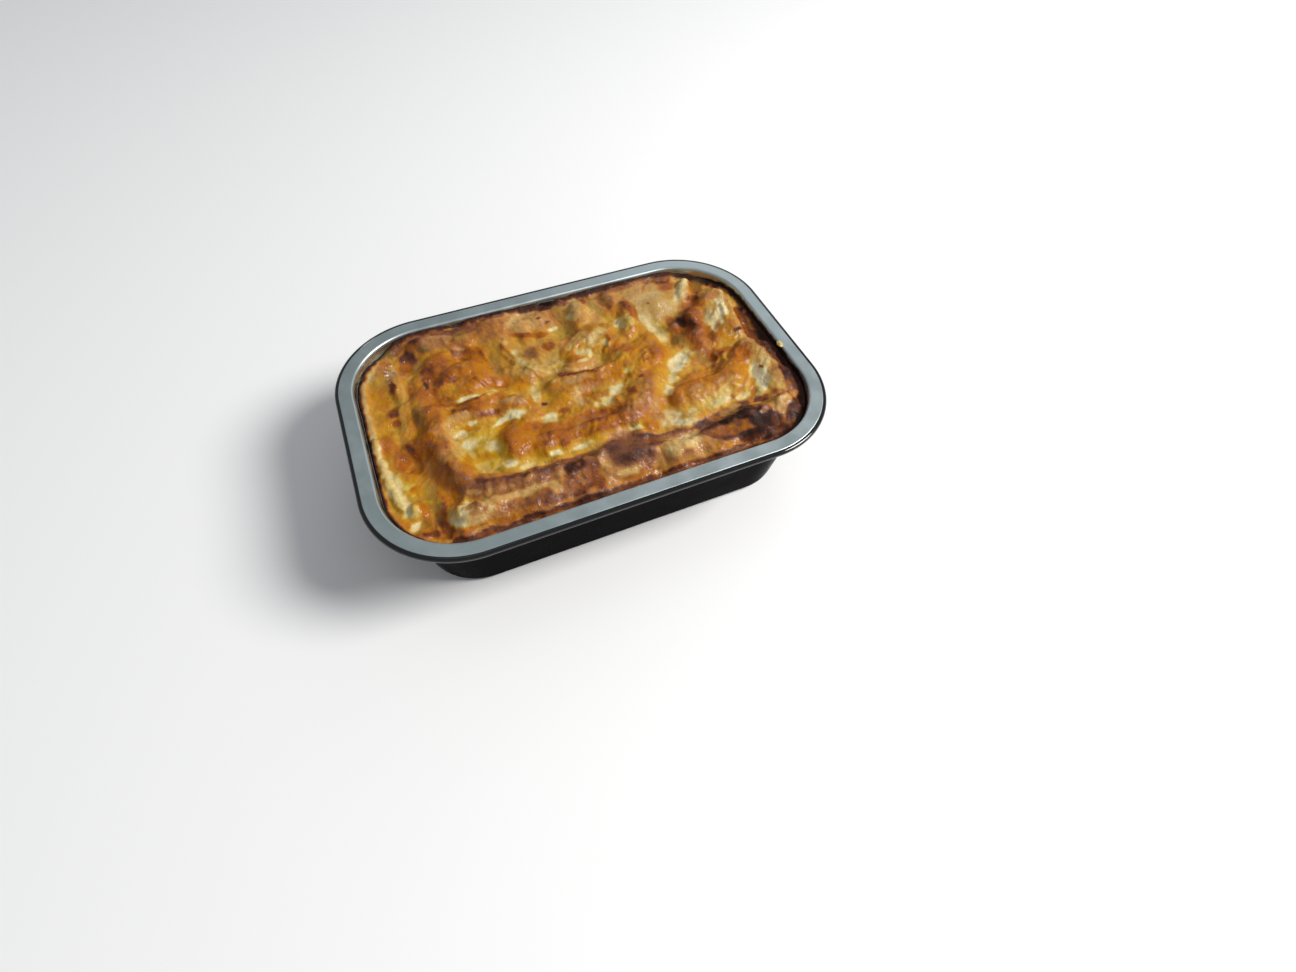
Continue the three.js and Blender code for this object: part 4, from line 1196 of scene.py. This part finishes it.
# %% Inner fold and front valley
paint(
    "inner fold and front valley",
    dab(.64, 0, -22, -23, 9, 5), dab(.74, .2, 0, -22, 7, 4), dab(.72, .2, 11, -24, 6, 4),
    dab(.48, .8, -10, -25, 4, 2, 0, .7), dab(.70, .1, -20, -31.5, 3, 2.4),
    dab(.58, .1, -3, -29.5, 4.4, 2), dab(.48, 0, -6, -28, 4, 2, 0, .7),
    dab(.36, 0, -31, -33, 6, 3), dab(.04, .5, -26, -36, 3.4, 2),
    dab(.10, .5, -13, -36.5, 6, 2, 5), dab(.34, 0, -3, -36, 4, 2), dab(.56, 0, 21, -37.5, 5, 4),
    dab(.08, .5, 14, -35, 4, 2.4, -30), dab(.08, .7, -22, -14.5, 4.4, 3.6, 0, .9),
    dab(.10, .6, 6, -14, 7, 3.6, 10, .9), dab(.08, .7, 14, -9, 5, 3, 25, .9),
    dab(.54, .2, 3, -12, 1.2, 3, 30, .7), dab(.52, .2, 12, -14, 1, 2.6, -20, .7),
    dab(.76, .2, -14, -13, 3, 2.2), dab(.34, .9, -5, -9, 2.6, 5, 10), dab(.38, 0, -9, -16, 4, 2),
    # painted sheen: the pinkish stroke on this line, over the inner fold's right part
    dab(.62, .1, 0, -6, 4, 2.4), stroke(.58, .8, 3.2, (15, -25), (25, -20), (32, -11), share=.9),
    dab(.70, .6, 24, -24, 1.4, 4, -40, .8), dab(.68, .4, 31, -16, 1.4, 4, -35, .8),
    dab(.36, .9, 23, -19, 1.2, 4, -45, .8), dab(.14, .8, -24, 2, 2, 7, 0, .8),
    dab(.92, .6, -22, -5, 1.8, 1.4), dab(.62, .6, 14, -33, 2, 1.6),
    dab(.36, .9, 28, -25, 3, 5, -40, .7), dab(.64, .2, 20, -26, 3, 2.6, 0, .9),
    dab(.72, .1, 21, -13, 3, 3), dab(.80, .4, 29, -5, 2, 1.4))

# %% [markdown]
# ### The edges
# Sauce that touches the foil burns. Along the front it makes one dark line, along the far side
# a row of dark bubbles.

# %% Front and far edges
paint(
    "front and far edges",
    stroke(.90, .6, 2.2, (-78, -65), (-60, -66), (-20, -66), (20, -66), (62, -66), share=.95),
    stroke(.86, .8, 1.8, (-52, 63), (-44, 63)),
    stroke(.88, .8, 2.2, (-12, 65), (-2, 63), (9, 64)),
    stroke(.84, .8, 1.8, (22, 66), (34, 65.5), (50, 66.5)),
    stroke(.70, .9, 1.4, (-34, 66), (-22, 66)),
    stroke(.70, .8, 2, (33, 63), (44, 62.5), (53, 64), (66, 63), (74, 62), share=.8),
    stroke(.80, .8, 2, (-60, 64.5), (-52, 62), (-44, 63), (-38, 64.5), share=.8),
    dab(.66, .4, -51, 53, 4, 4, 0, .9), dab(.44, 1, 55, 63, 4, 1.6, 0, .8),
    dab(.76, .8, 10, 62, 4, 2.4, 0, .9), dab(.34, .6, -67, -62.8, 4, 1.4, 0, .8),
    dab(.60, .8, -22, 62, 4, 2, 0, .8))

# %% [markdown]
# ### Green oil and the burnt band
# Two more lists need no order. Herb oil tints the sauce green in the dips, and a dark band
# follows the wall, wider on the right where the dish shrank away from the foil. There it is
# burnt crust and painted shadow in the gap.

# %% Green oil
OLIVE = [  # centre, half-sizes, turn, share
    (7, 54, 4, 9, 0, .8), (53, 26, 3, 9, 0, .8), (60, 40, 12, 10, 0, .3), (-48, 57, 6, 4, 0, .6),
    (-93, 40, 4, 9, 0, .5), (-34, 40, 4, 10, 0, .5), (66, -33, 14, 3, 15, .2),
    (-60, -16, 9, 7, 0, .2), (-80, 12, 4, 12, 0, .5), (-18, 5, 5, 7, 0, .3),
    (-36, 28, 3, 9, 0, .8), (5, 40, 5, 6, 0, .8), (26.5, 52, 2.6, 9, 10, .9),
    (34, 57, 3, 6, 0, .5), (58, 12, 4, 5, 0, .9), (-22, 28, 9, 10, 0, .4),
    (14, -33, 2.2, 2, 0, .6), (63, -5, 4, 6, 0, .8), (-84, -40, 3.4, 12, 0, .9),
    (-89, -52, 2.4, 3, 0, .6), (86, 49, 4, 6, -30, .7), (88, 8, 4, 7, 0, .4),
    (-66, 55, 4, 4, 0, .6), (14, 17, 3, 4, -10, .4), (50, 22, 4, 6, 0, .25),
    (-86, 56, 6, 5, 30, .5), (70, 48, 4, 3, 20, .4),
]
print(len(OLIVE), "places with green oil")

# %% Burnt band beside the wall, partly painted shadow on the right
EDGE_BURN_USUAL = 1.6  # mm wide
EDGE_BURN_AND_SHADE = [  # ovals that add to its width, in mm; on the right they add painted shadow of the gap
    (2, 74, 94, 16, 0, 1.2), (108, -14, 16, 50, 0, 1.4), (108, -34, 14, 15, 0, 1.6),
    (96, -58, 18, 16, 0, 2.2), (68, -67, 16, 9, 0, 1.8), (92, 60, 14, 14, 0, 3.4),
    (-100, 45, 14, 20, 0, 0.5),
]
print("Burnt band from", EDGE_BURN_USUAL, "mm, with", len(EDGE_BURN_AND_SHADE), "wider stretches")

# %% [markdown]
# ## Crests and creases
# A crest browns, and a crease is painted darker, partly for the oil it keeps and partly as
# painted shade. Both come from one measure: how far a point stands above the smoothed crust
# round it. The crust is sampled on a square grid, the grid is blurred, and the difference is
# read back at each vertex.

# %% A grid over the crust
GRID_STEP = 0.8
GRID_HALF_X, GRID_HALF_Y = 112, 76
LAST_POINT = 0.1  # added to the end of a range, so that it takes in its last point
GRID_X = np.arange(-GRID_HALF_X, GRID_HALF_X + LAST_POINT, GRID_STEP)
GRID_Y = np.arange(-GRID_HALF_Y, GRID_HALF_Y + LAST_POINT, GRID_STEP)
print("Grid of", len(GRID_X), "by", len(GRID_Y), "points")


def read_grid(values, x, y):
    """Value of a grid between its points."""
    u, v = (x - GRID_X[0]) / GRID_STEP, (y - GRID_Y[0]) / GRID_STEP
    i, j = np.clip(u.astype(int), 0, len(GRID_X) - 2), np.clip(v.astype(int), 0, len(GRID_Y) - 2)
    s, t = u - i, v - j
    low = values[j, i] * (1 - s) + values[j, i + 1] * s
    high = values[j + 1, i] * (1 - s) + values[j + 1, i + 1] * s
    return low * (1 - t) + high * t


def grid_of_crust(x, y, z):
    """The crust's height on the grid, averaged from the vertices nearest to each grid point."""
    total = np.zeros((len(GRID_Y), len(GRID_X)))
    count = np.zeros_like(total)
    i = np.rint((x - GRID_X[0]) / GRID_STEP).astype(int)
    j = np.rint((y - GRID_Y[0]) / GRID_STEP).astype(int)
    np.add.at(total, (j, i), z)
    np.add.at(count, (j, i), 1)
    mean = z.mean()
    return np.where(count > 0, total / np.maximum(count, 1), mean), (count > 0).astype(float)


# %% Blur and difference
BLUR_REACHES = 3  # how far the blur looks, in its own reach
LEAST_KNOWN = 0.05  # keeps the division safe where hardly any grid point is known


def blurred(values, reach_mm):
    end = BLUR_REACHES * reach_mm
    kernel = np.exp(-0.5 * (np.arange(-end, end + LAST_POINT, GRID_STEP) / reach_mm) ** 2)
    kernel /= kernel.sum()
    for axis in (0, 1):
        pad = [(len(kernel) // 2,) * 2 if a == axis else (0, 0) for a in (0, 1)]
        padded = np.pad(values, pad, mode="edge")
        values = np.apply_along_axis(
            lambda line: np.convolve(line, kernel, mode="valid"), axis, padded)
    return values


def standing_above(x, y, z, reach_mm):
    heights, known = grid_of_crust(x, y, z)
    weight = np.maximum(blurred(known, reach_mm), LEAST_KNOWN)
    return z - read_grid(blurred(heights * known, reach_mm) / weight, x, y)


# %% Measures and stores
def distance_from_wall(x, y, height):
    inset = FLANGE_WIDTH + (TRAY_HEIGHT - height) * tan(WALL_TAPER) + GAP
    half_x, half_y = FLANGE_LENGTH / 2 - inset, FLANGE_BREADTH / 2 - inset
    radius = FLANGE_CORNER - inset
    qx, qy = np.abs(x) - (half_x - radius), np.abs(y) - (half_y - radius)
    outside = np.hypot(np.maximum(qx, 0), np.maximum(qy, 0)) + np.minimum(np.maximum(qx, qy), 0)
    return radius - outside


def vertex_places(piece):
    """x, y and z of a piece's vertices in mm."""
    co = np.zeros(len(piece.data.vertices) * 3)
    piece.data.vertices.foreach_get("co", co)
    return co.reshape(-1, 3).T / MM


def store(piece, name, values):
    layer = piece.data.attributes.new(name, "FLOAT", "POINT")
    layer.data.foreach_set("value", np.asarray(values, np.float32))


# %% [markdown]
# ## From the list to the vertices
# The ground colour comes from the height, the marks go over it one after another, and a last
# touch of crests, flecks and the burnt band, which on the right is also painted shadow, ties
# them together. The hand that places a mark is never quite steady, so each place is moved a
# little by noise first.

# %% Paint the marks
CREST_REACH, HILL_REACH = 1.2, 5  # mm; what counts as a crest, and what as a hill
RAW_DONE, RAW_SKIN, HILL_DONE = 0.42, 0.2, 0.05  # doneness and skin at first, and per mm of hill
HAND_X, HAND_Y = (1.4, 6, 2, 101), (1.4, 6, 2, 131)


def painted(x, y, hill):
    """Doneness and skin after all marks, in the order of the list."""
    done = RAW_DONE + HILL_DONE * hill
    skin = np.full_like(done, RAW_SKIN)
    for done_here, skin_here, share in PAINT:
        amount = share(x, y)
        done += (done_here - done) * amount
        skin += (skin_here - skin) * amount
    return done, skin


# %% Touch up the crests, the folds and the band
HILL_TOUCH, CREST_TOUCH, CREST_LIMITS = 0.025, 0.12, (-0.5, 0.8)  # per mm, and mm
FLECKS = (0.05, 3, 3, 171)
STREAK_PALENESS = 0.24  # the crest of a stretched fold stays paler than the creases beside it
BAND_RAGGED = (0.5, 4, 2, 151)
BAND_FROM, BAND_FULL = -0.1, 0.7
BURNT_DONE, BURNT_SKIN = 0.97, 0.6


def touch_up(done, x, y, crest, hill):
    """Changes the doneness in place by what the fine relief does to it."""
    warp_x, warp_y = warped(x, y)
    streak = np.clip(sum(form(warp_x, warp_y) for form in STREAKS), 0, 1)
    done += HILL_TOUCH * hill + CREST_TOUCH * np.clip(crest, *CREST_LIMITS) + bumps(x, y, *FLECKS)
    done -= STREAK_PALENESS * streak * (1 - streak / 2)


def burn_and_shade_share(x, y, z):
    width = EDGE_BURN_USUAL + ovals(x, y, EDGE_BURN_AND_SHADE)
    band = 1 - distance_from_wall(x, y, z) / width + bumps(x, y, *BAND_RAGGED)
    return soft_step(band, BAND_FROM, BAND_FULL)


# %% Store the finish
CRUST_DEPTH = 20  # mm below the flange's top; deeper vertices have no crests
FULL_CREASE = 0.5  # mm; a crease as deep as this gets the darkest painted shade


def paint_dish(piece):
    x, y, z = vertex_places(piece)
    top = z > TRAY_HEIGHT - CRUST_DEPTH
    crest, hill = np.zeros_like(z), np.zeros_like(z)
    crest[top] = standing_above(x[top], y[top], z[top], CREST_REACH)
    hill[top] = standing_above(x[top], y[top], z[top], HILL_REACH)
    sheet_x, sheet_y = on_sheet(x, y, z)
    hand_x, hand_y = sheet_x + bumps(x, y, *HAND_X), sheet_y + bumps(x, y, *HAND_Y)
    done, skin = painted(hand_x, hand_y, hill)
    touch_up(done, x, y, crest, hill)
    # the band is burnt crust, and on the right it is also painted shadow in the shrink gap
    burnt = burn_and_shade_share(x, y, z)
    done += (BURNT_DONE - done) * burnt
    skin += (BURNT_SKIN - skin) * burnt
    olive = sum(share * firm(oval(hand_x, hand_y, *place)) for *place, share in OLIVE)
    for name, values in (("done", done), ("skin", skin), ("olive", olive),
                         ("crease", -crest / FULL_CREASE)):
        store(piece, name, np.clip(values, 0, 1))
    print(f"Doneness from {done.min():.2f} to {done.max():.2f} after {len(PAINT)} marks")


paint_dish(dish)

# %% [markdown]
# ## A crumb on the flange
# One pale crumb of cheese fell on the flange's inner edge, on the right. It is a small closed
# body: a ball from bmesh, flattened and pushed in and out by noise.

# %% Crumb
CRUMB_AT, CRUMB_HALF = (104.6, -13.6, TRAY_HEIGHT + 0.9), (1.5, 2.1, 1.0)
CRUMB_ROUNDS = 4  # how often the ball's facets are divided
LUMP_HEIGHT, LUMP_DENSITY = 0.35, 1.4  # for a ball of radius 1
NUB_HEIGHT, NUB_DENSITY = 0.12, 5
CRUMB_FINISH = {"done": 0.14, "skin": 0.4, "olive": 0.0, "crease": 0.0}


def make_crumb():
    work = bmesh.new()
    bmesh.ops.create_icosphere(work, subdivisions=CRUMB_ROUNDS, radius=1)
    for vert in work.verts:
        lump = (1 + LUMP_HEIGHT * noise.noise(vert.co * LUMP_DENSITY)
                + NUB_HEIGHT * noise.noise(vert.co * NUB_DENSITY))
        vert.co = Vector([(c * half * lump + at) * MM
                          for c, half, at in zip(vert.co, CRUMB_HALF, CRUMB_AT)])
    mesh = bpy.data.meshes.new("crumb")
    work.to_mesh(mesh)
    work.free()
    mesh.shade_smooth()
    piece = bpy.data.objects.new("crumb", mesh)
    bpy.context.scene.collection.objects.link(piece)
    for name, value in CRUMB_FINISH.items():
        store(piece, name, np.full(len(mesh.vertices), value))
    print(f"Crumb at {CRUMB_AT} mm, {len(mesh.vertices)} vertices")
    return piece


crumb = make_crumb()

# %% [markdown]
# ## Materials from nodes
# A small helper adds a node and sets its values, which keeps each material short to read.
# Every pattern is noise in the piece's own coordinates, in mm, so no picture is needed.

# %% Nodes and wires
def new_material(name):
    material = bpy.data.materials.new(name)
    material.use_nodes = True
    return material, material.node_tree.nodes["Principled BSDF"]


def add_node(material, kind, inputs=(), **settings):
    node = material.node_tree.nodes.new(kind)
    for key, value in settings.items():
        setattr(node, key, value)
    for key, value in dict(inputs).items():
        if isinstance(value, bpy.types.NodeSocket):
            material.node_tree.links.new(value, node.inputs[key])
        else:
            node.inputs[key].default_value = value
    return node


def wire(material, out, into):
    material.node_tree.links.new(out, into)


def set_sockets(shader, values):
    """Sets what is the same all over a surface on the shader's own sockets."""
    for name, value in values.items():
        shader.inputs[name].default_value = value


# %% Noise, sums and blends
def stored_value(material, name):
    return add_node(material, "ShaderNodeAttribute", attribute_name=name).outputs["Fac"]


def object_place(material):
    return add_node(material, "ShaderNodeTexCoord").outputs["Object"]


def fine_noise(material, length_mm, detail=3.0, roughness=0.55):
    """Noise whose bumps are about length_mm apart on the piece itself."""
    return add_node(material, "ShaderNodeTexNoise", {
        "Vector": object_place(material), "Scale": 1 / (length_mm * MM), "Detail": detail,
        "Roughness": roughness}).outputs["Fac"]


def math(material, operation, a, b):
    return add_node(material, "ShaderNodeMath", {0: a, 1: b}, operation=operation).outputs[0]


def between(material, value, low, high, to_low=0.0, to_high=1.0):
    return add_node(material, "ShaderNodeMapRange", {
        "Value": value, "From Min": low, "From Max": high, "To Min": to_low,
        "To Max": to_high}, interpolation_type="SMOOTHSTEP").outputs["Result"]


# %% Colours
def blend_colour(material, share, a, b, mode="MIX"):
    node = add_node(material, "ShaderNodeMix", data_type="RGBA", blend_type=mode)
    for index, value in ((0, share), (6, a), (7, b)):
        if isinstance(value, bpy.types.NodeSocket):
            wire(material, value, node.inputs[index])
        else:
            node.inputs[index].default_value = value
    return node.outputs[2]


def ramp(material, value, stops):
    node = add_node(material, "ShaderNodeValToRGB", {"Fac": value})
    elements = node.color_ramp.elements
    while len(elements) < len(stops):
        elements.new(0.5)
    for element, (place, colour) in zip(elements, stops):
        element.position = place
        element.color = (*colour, 1)
    return node.outputs["Color"]


# %% [markdown]
# ## The crust's finish
# Two ramps turn doneness into colour, one for melted cheese and one for the sauce's skin.
# Noise moves the doneness a little at two scales first, as cheese browns in flecks. Oil makes
# the top glossy in places, and a bump carries the grain that is too small for the mesh.

# %% Colours of doneness
MELTED_CHEESE = [  # doneness, then red, green and blue
    (0.00, (0.66, 0.59, 0.36)), (0.11, (0.59, 0.47, 0.17)), (0.25, (0.51, 0.30, 0.014)),
    (0.38, (0.455, 0.21, 0.003)), (0.50, (0.42, 0.160, 0.003)), (0.60, (0.37, 0.115, 0.003)),
    (0.70, (0.285, 0.076, 0.004)), (0.80, (0.165, 0.040, 0.004)), (0.90, (0.072, 0.017, 0.004)),
    (1.00, (0.020, 0.007, 0.004))]
SAUCE_SKIN = [
    (0.00, (0.66, 0.58, 0.36)), (0.11, (0.59, 0.47, 0.24)), (0.22, (0.515, 0.34, 0.13)),
    (0.40, (0.42, 0.215, 0.068)), (0.55, (0.33, 0.142, 0.046)), (0.70, (0.205, 0.078, 0.034)),
    (0.85, (0.093, 0.033, 0.020)), (1.00, (0.024, 0.009, 0.006))]
OLIVE_OIL = (0.22, 0.165, 0.024, 1)
print("Colour stops:", len(MELTED_CHEESE), "for cheese,", len(SAUCE_SKIN), "for sauce")

# %% Colour of the crust
MOTTLE_MM, MOTTLE_DONE = 2.6, 0.055  # how far apart flecks are, and by how much they brown
SPECK_MM, SPECK_DONE = 0.8, 0.018
OLIVE_STRENGTH = 0.6
CREASE_OIL_AND_SHADE = (0.88, 0.76, 0.58)  # painted shade and oil: what a deep crease leaves of red, green and blue


def crust_colour(material, speck):
    mottle = fine_noise(material, MOTTLE_MM, 4)
    done = math(material, "ADD", stored_value(material, "done"),
                between(material, mottle, 0.25, 0.75, -MOTTLE_DONE, MOTTLE_DONE))
    done = math(material, "ADD", done,
                between(material, speck, 0.3, 0.7, -SPECK_DONE, SPECK_DONE))
    colour = blend_colour(material, stored_value(material, "skin"),
                          ramp(material, done, MELTED_CHEESE), ramp(material, done, SAUCE_SKIN))
    oil = math(material, "MULTIPLY", stored_value(material, "olive"), OLIVE_STRENGTH)
    colour = blend_colour(material, oil, colour, OLIVE_OIL)
    # Painted shade: the crease measure darkens the colour in creases, partly as shade, partly for
    # oil.
    crease = stored_value(material, "crease")
    depth = add_node(material, "ShaderNodeCombineColor", {
        index: between(material, crease, 0.0, 1.0, 1.0, left)
        for index, left in enumerate(CREASE_OIL_AND_SHADE)}).outputs[0]
    return blend_colour(material, 1.0, colour, depth, "MULTIPLY")


# %% Grain and oil of the crust
PUCKER_MM, PUCKER_TWIST = 3.4, 0.7
PUCKER_SHARE, SPECK_SHARE = 0.5, 0.5
BUMP_MM = 0.6
OIL_MM, OIL_FROM, OIL_FULL, OIL_MOST = 2.6, 0.48, 0.56, 0.8
DRY_FROM, DRY_FULL, DRY_OIL = 0.68, 0.92, 0.15  # doneness, and the oil left on a burnt place


def crust_grain(material, speck):
    puckers = add_node(material, "ShaderNodeTexNoise", {
        "Vector": object_place(material), "Scale": 1 / (PUCKER_MM * MM), "Detail": 2.0,
        "Roughness": 0.5, "Distortion": PUCKER_TWIST},
        noise_type="RIDGED_MULTIFRACTAL").outputs["Fac"]
    grain = math(material, "ADD", math(material, "MULTIPLY", puckers, PUCKER_SHARE),
                 math(material, "MULTIPLY", speck, SPECK_SHARE))
    return add_node(material, "ShaderNodeBump", {
        "Strength": 1.0, "Distance": BUMP_MM * MM, "Height": grain}).outputs["Normal"]


def crust_oil(material):
    wet = between(material, fine_noise(material, OIL_MM, 3, 0.6), OIL_FROM, OIL_FULL, 0.0, OIL_MOST)
    dry = between(material, stored_value(material, "done"), DRY_FROM, DRY_FULL, 1.0, DRY_OIL)
    return math(material, "MULTIPLY", wet, dry)


# %% Crust material
CRUST_SOCKETS = {
    "Coat Roughness": 0.055, "Roughness": 0.5, "Specular IOR Level": 0.1,
    "Subsurface Weight": 0.08, "Subsurface Radius": (1.0, 0.45, 0.15), "Subsurface Scale": 0.0015}


def crust_finish():
    material, shader = new_material("baked_cheese_crust")
    speck = fine_noise(material, SPECK_MM, 3, 0.6)
    wire(material, crust_colour(material, speck), shader.inputs["Base Color"])
    grain = crust_grain(material, speck)
    wire(material, grain, shader.inputs["Normal"])
    wire(material, grain, shader.inputs["Coat Normal"])
    wire(material, crust_oil(material), shader.inputs["Coat Weight"])
    set_sockets(shader, CRUST_SOCKETS)
    print(f"{material.name}: {len(material.node_tree.nodes)} nodes")
    return material


baked_crust = crust_finish()
dish.data.materials.append(baked_crust)
crumb.data.materials.append(baked_crust)

# %% [markdown]
# ## Foil and lacquer
# The inside is bare foil with a satin roll finish. Where sauce boiled up the wall it baked on
# as a dark film with a ragged top. On the right, where the dish shrank away, the dark reaches
# higher: there it is baked-on film and painted shade in the gap. How high it reaches is stored
# at each vertex, and the material compares that with its own height.

# %% Height of the baked-on film and, on the right, of painted shade
FILM_AND_SHADE_MARKS = [  # how many mm the dark film, on the right also painted shade, stands above the crust's usual edge: place, then rise
    (108, 0, 20, 70, 0, 3.4), (-108, 10, 14, 60, 0, 0.6), (0, 74, 70, 12, 0, 2.4),
    (94, -60, 16, 10, 0, 2.0), (-92, 63, 14, 11, 40, -2.4),
]


def store_film_and_shade(piece):
    x, y, _ = vertex_places(piece)
    top = np.minimum(TRAY_HEIGHT + EDGE_LEVEL + ovals(x, y, FILM_AND_SHADE_MARKS), TRAY_HEIGHT - FLANGE_BEND)
    store(piece, "film_top", top * MM)
    print(f"Film up to {top.min():.1f} to {top.max():.1f} mm above the floor")


store_film_and_shade(silver_skin)

# %% Foil
ROLLED_MM, ROLLED_DEPTH, ROLLED_STRENGTH = 0.5, 0.05, 0.12  # the mill's fine grain
CLOUD_MM = 14  # slow changes of shade
FOIL_DARK, FOIL_LIGHT = (0.44, 0.515, 0.52, 1), (0.50, 0.575, 0.585, 1)
# the dark of baked-on sauce, also used as painted shade high on the right wall
FILM_AND_SHADE_COLOUR = (0.020, 0.011, 0.008, 1)
FILM_RAGGED_MM, FILM_RAGGED, FILM_SOFT = 6, 0.5, 0.6  # mm: how its top edge wanders and fades
SATIN_SMOOTH, SATIN_ROUGH = 0.38, 0.50
BEND_ROUGH = 0.24  # the metal is stretched smooth where it bends down into the tray
BEND_FROM, BEND_TO = TRAY_HEIGHT - 2, TRAY_HEIGHT - 0.1


def film_and_shade_share(material, height):
    """1 where the foil is painted dark, as baked-on sauce and on the right as shade; 0 where bare.
    """
    ragged = between(material, fine_noise(material, FILM_RAGGED_MM, 3), 0.3, 0.7,
                     -FILM_RAGGED * MM, FILM_RAGGED * MM)
    film_top = math(material, "ADD", stored_value(material, "film_top"), ragged)
    below = math(material, "SUBTRACT", film_top, height)
    return between(material, below, -FILM_SOFT * MM, FILM_SOFT * MM)


def foil_finish():
    material, shader = new_material("satin_foil")
    place = object_place(material)
    height = add_node(material, "ShaderNodeSeparateXYZ", {"Vector": place}).outputs["Z"]
    cloud = fine_noise(material, CLOUD_MM, 3)
    shade = between(material, cloud, 0.3, 0.7)
    film_and_shade = film_and_shade_share(material, height)
    bare = blend_colour(material, shade, FOIL_DARK, FOIL_LIGHT)
    wire(material, blend_colour(material, film_and_shade, bare, FILM_AND_SHADE_COLOUR), shader.inputs["Base Color"])
    wire(material, between(material, film_and_shade, 0.0, 1.0, 1.0, 0.0), shader.inputs["Metallic"])
    satin = between(material, cloud, 0.25, 0.75, SATIN_SMOOTH, SATIN_ROUGH)
    bend = between(material, height, BEND_FROM * MM, BEND_TO * MM, BEND_ROUGH, 1.0)
    wire(material, math(material, "MINIMUM", satin, bend), shader.inputs["Roughness"])
    bump = add_node(material, "ShaderNodeBump", {
        "Strength": ROLLED_STRENGTH, "Distance": ROLLED_DEPTH * MM,
        "Height": fine_noise(material, ROLLED_MM, 2)})
    wire(material, bump.outputs["Normal"], shader.inputs["Normal"])
    set_sockets(shader, {"Specular IOR Level": 0.1})
    print(f"{material.name}: {len(material.node_tree.nodes)} nodes")
    return material


silver_skin.data.materials.append(foil_finish())

# %% [markdown]
# ### Black lacquer
# One material could change its gloss with height, but a clean line between two materials is
# what the tray has: the rolled edge kept its gloss, the wall lost it when the foil was drawn.

# %% Lacquer
LACQUER_MM = 3
LACQUER_DARK, LACQUER_LIGHT = (0.0015, 0.0015, 0.0018, 1), (0.004, 0.004, 0.0045, 1)
LACQUERS = (  # name, gloss, smoothest and roughest
    ("black_lacquer", 0.7, 0.08, 0.14), ("drawn_black_lacquer", 0.004, 0.16, 0.30))
DRAWN_GAP = 0.3  # mm from the underside of the rolled edge down to the drawn wall
DRAWN_TOP = TRAY_HEIGHT - 2 * BEAD_RADIUS - DRAWN_GAP


def lacquer_finish(name, gloss, smoothest, roughest):
    material, shader = new_material(name)
    streak = fine_noise(material, LACQUER_MM, 3)
    colour = blend_colour(material, streak, LACQUER_DARK, LACQUER_LIGHT)
    wire(material, colour, shader.inputs["Base Color"])
    rough = between(material, streak, 0.3, 0.7, smoothest, roughest)
    wire(material, rough, shader.inputs["Roughness"])
    set_sockets(shader, {"IOR": 1.45, "Specular IOR Level": gloss})
    print(f"{material.name}: {len(material.node_tree.nodes)} nodes")
    return material


for lacquer in LACQUERS:
    black_skin.data.materials.append(lacquer_finish(*lacquer))
for face in black_skin.data.polygons:
    face.material_index = 1 if face.center.z < DRAWN_TOP * MM else 0

# %% [markdown]
# ## Everything rides on the tray
# There are no joints, so every piece belongs to the one body. The fine pieces take the place
# of the CAD solids, which stay underneath for collision.

# %% Places in the frame
for piece, node, slot in ((silver_skin, "tray", "foil"), (black_skin, "tray", "lacquer"),
                          (dish, "bake", "crust"), (crumb, None, "crust")):
    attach(piece, "root")
    if node:
        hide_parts(node)
    print(f"{piece.name}: slot {slot}, in place of {node or 'nothing'}")

# %% [markdown]
# ## Floor and light
# A plain pale floor and soft light from the near right, as from a window. A pale wall behind
# and the ceiling send a little of it back, which draws the foil's bends, and the room's own
# light comes from everywhere else.

# %% Floor
FLOOR_HALF = 3.0  # m
FLOOR_SOCKETS = {"Base Color": (0.90, 0.90, 0.90, 1), "Roughness": 0.9, "Specular IOR Level": 0.2}


def make_floor():
    mesh = bpy.data.meshes.new("pale_floor")
    corners = [(-FLOOR_HALF, -FLOOR_HALF, 0), (FLOOR_HALF, -FLOOR_HALF, 0),
               (FLOOR_HALF, FLOOR_HALF, 0), (-FLOOR_HALF, FLOOR_HALF, 0)]
    mesh.from_pydata(corners, [], [(0, 1, 2, 3)])
    floor = bpy.data.objects.new("pale_floor", mesh)
    bpy.context.scene.collection.objects.link(floor)
    material, shader = new_material("pale_floor")
    set_sockets(shader, FLOOR_SOCKETS)
    mesh.materials.append(material)
    print("Floor of", 2 * FLOOR_HALF, "m square")


make_floor()

# %% Light
LIGHTS = (  # name, place in m, size in m, watts, colour
    ("window", (1.15, -0.55, 1.15), 0.7, 34, (1.0, 0.985, 0.96)),
    ("far_wall", (0.9, 1.5, 1.0), 1.0, 2.2, (0.94, 0.97, 1.0)),
    ("ceiling", (-0.15, 0.5, 1.9), 0.7, 0.6, (0.92, 0.97, 1.0)))


def soft_light(name, place, size, power, colour):
    lamp = bpy.data.lights.new(name, "AREA")
    lamp.shape = "DISK"
    lamp.size = size
    lamp.energy = power
    lamp.color = colour
    holder = bpy.data.objects.new(name, lamp)
    holder.location = place
    holder.rotation_mode = "QUATERNION"
    holder.rotation_quaternion = (-Vector(place)).to_track_quat("-Z", "Y")
    bpy.context.scene.collection.objects.link(holder)
    print(f"{name}: {power} W, {holder.location.length:.2f} m away")


for light in LIGHTS:
    soft_light(*light)

# %% The room's own light
ROOM_SOCKETS = {"Color": (0.93, 0.96, 1.0, 1), "Strength": 0.36}
room = bpy.data.worlds.new("room")
room.use_nodes = True
set_sockets(room.node_tree.nodes["Background"], ROOM_SOCKETS)
bpy.context.scene.world = room
print("Room light:", ROOM_SOCKETS["Strength"])
bpy.context.scene.view_settings.view_transform = "Standard"
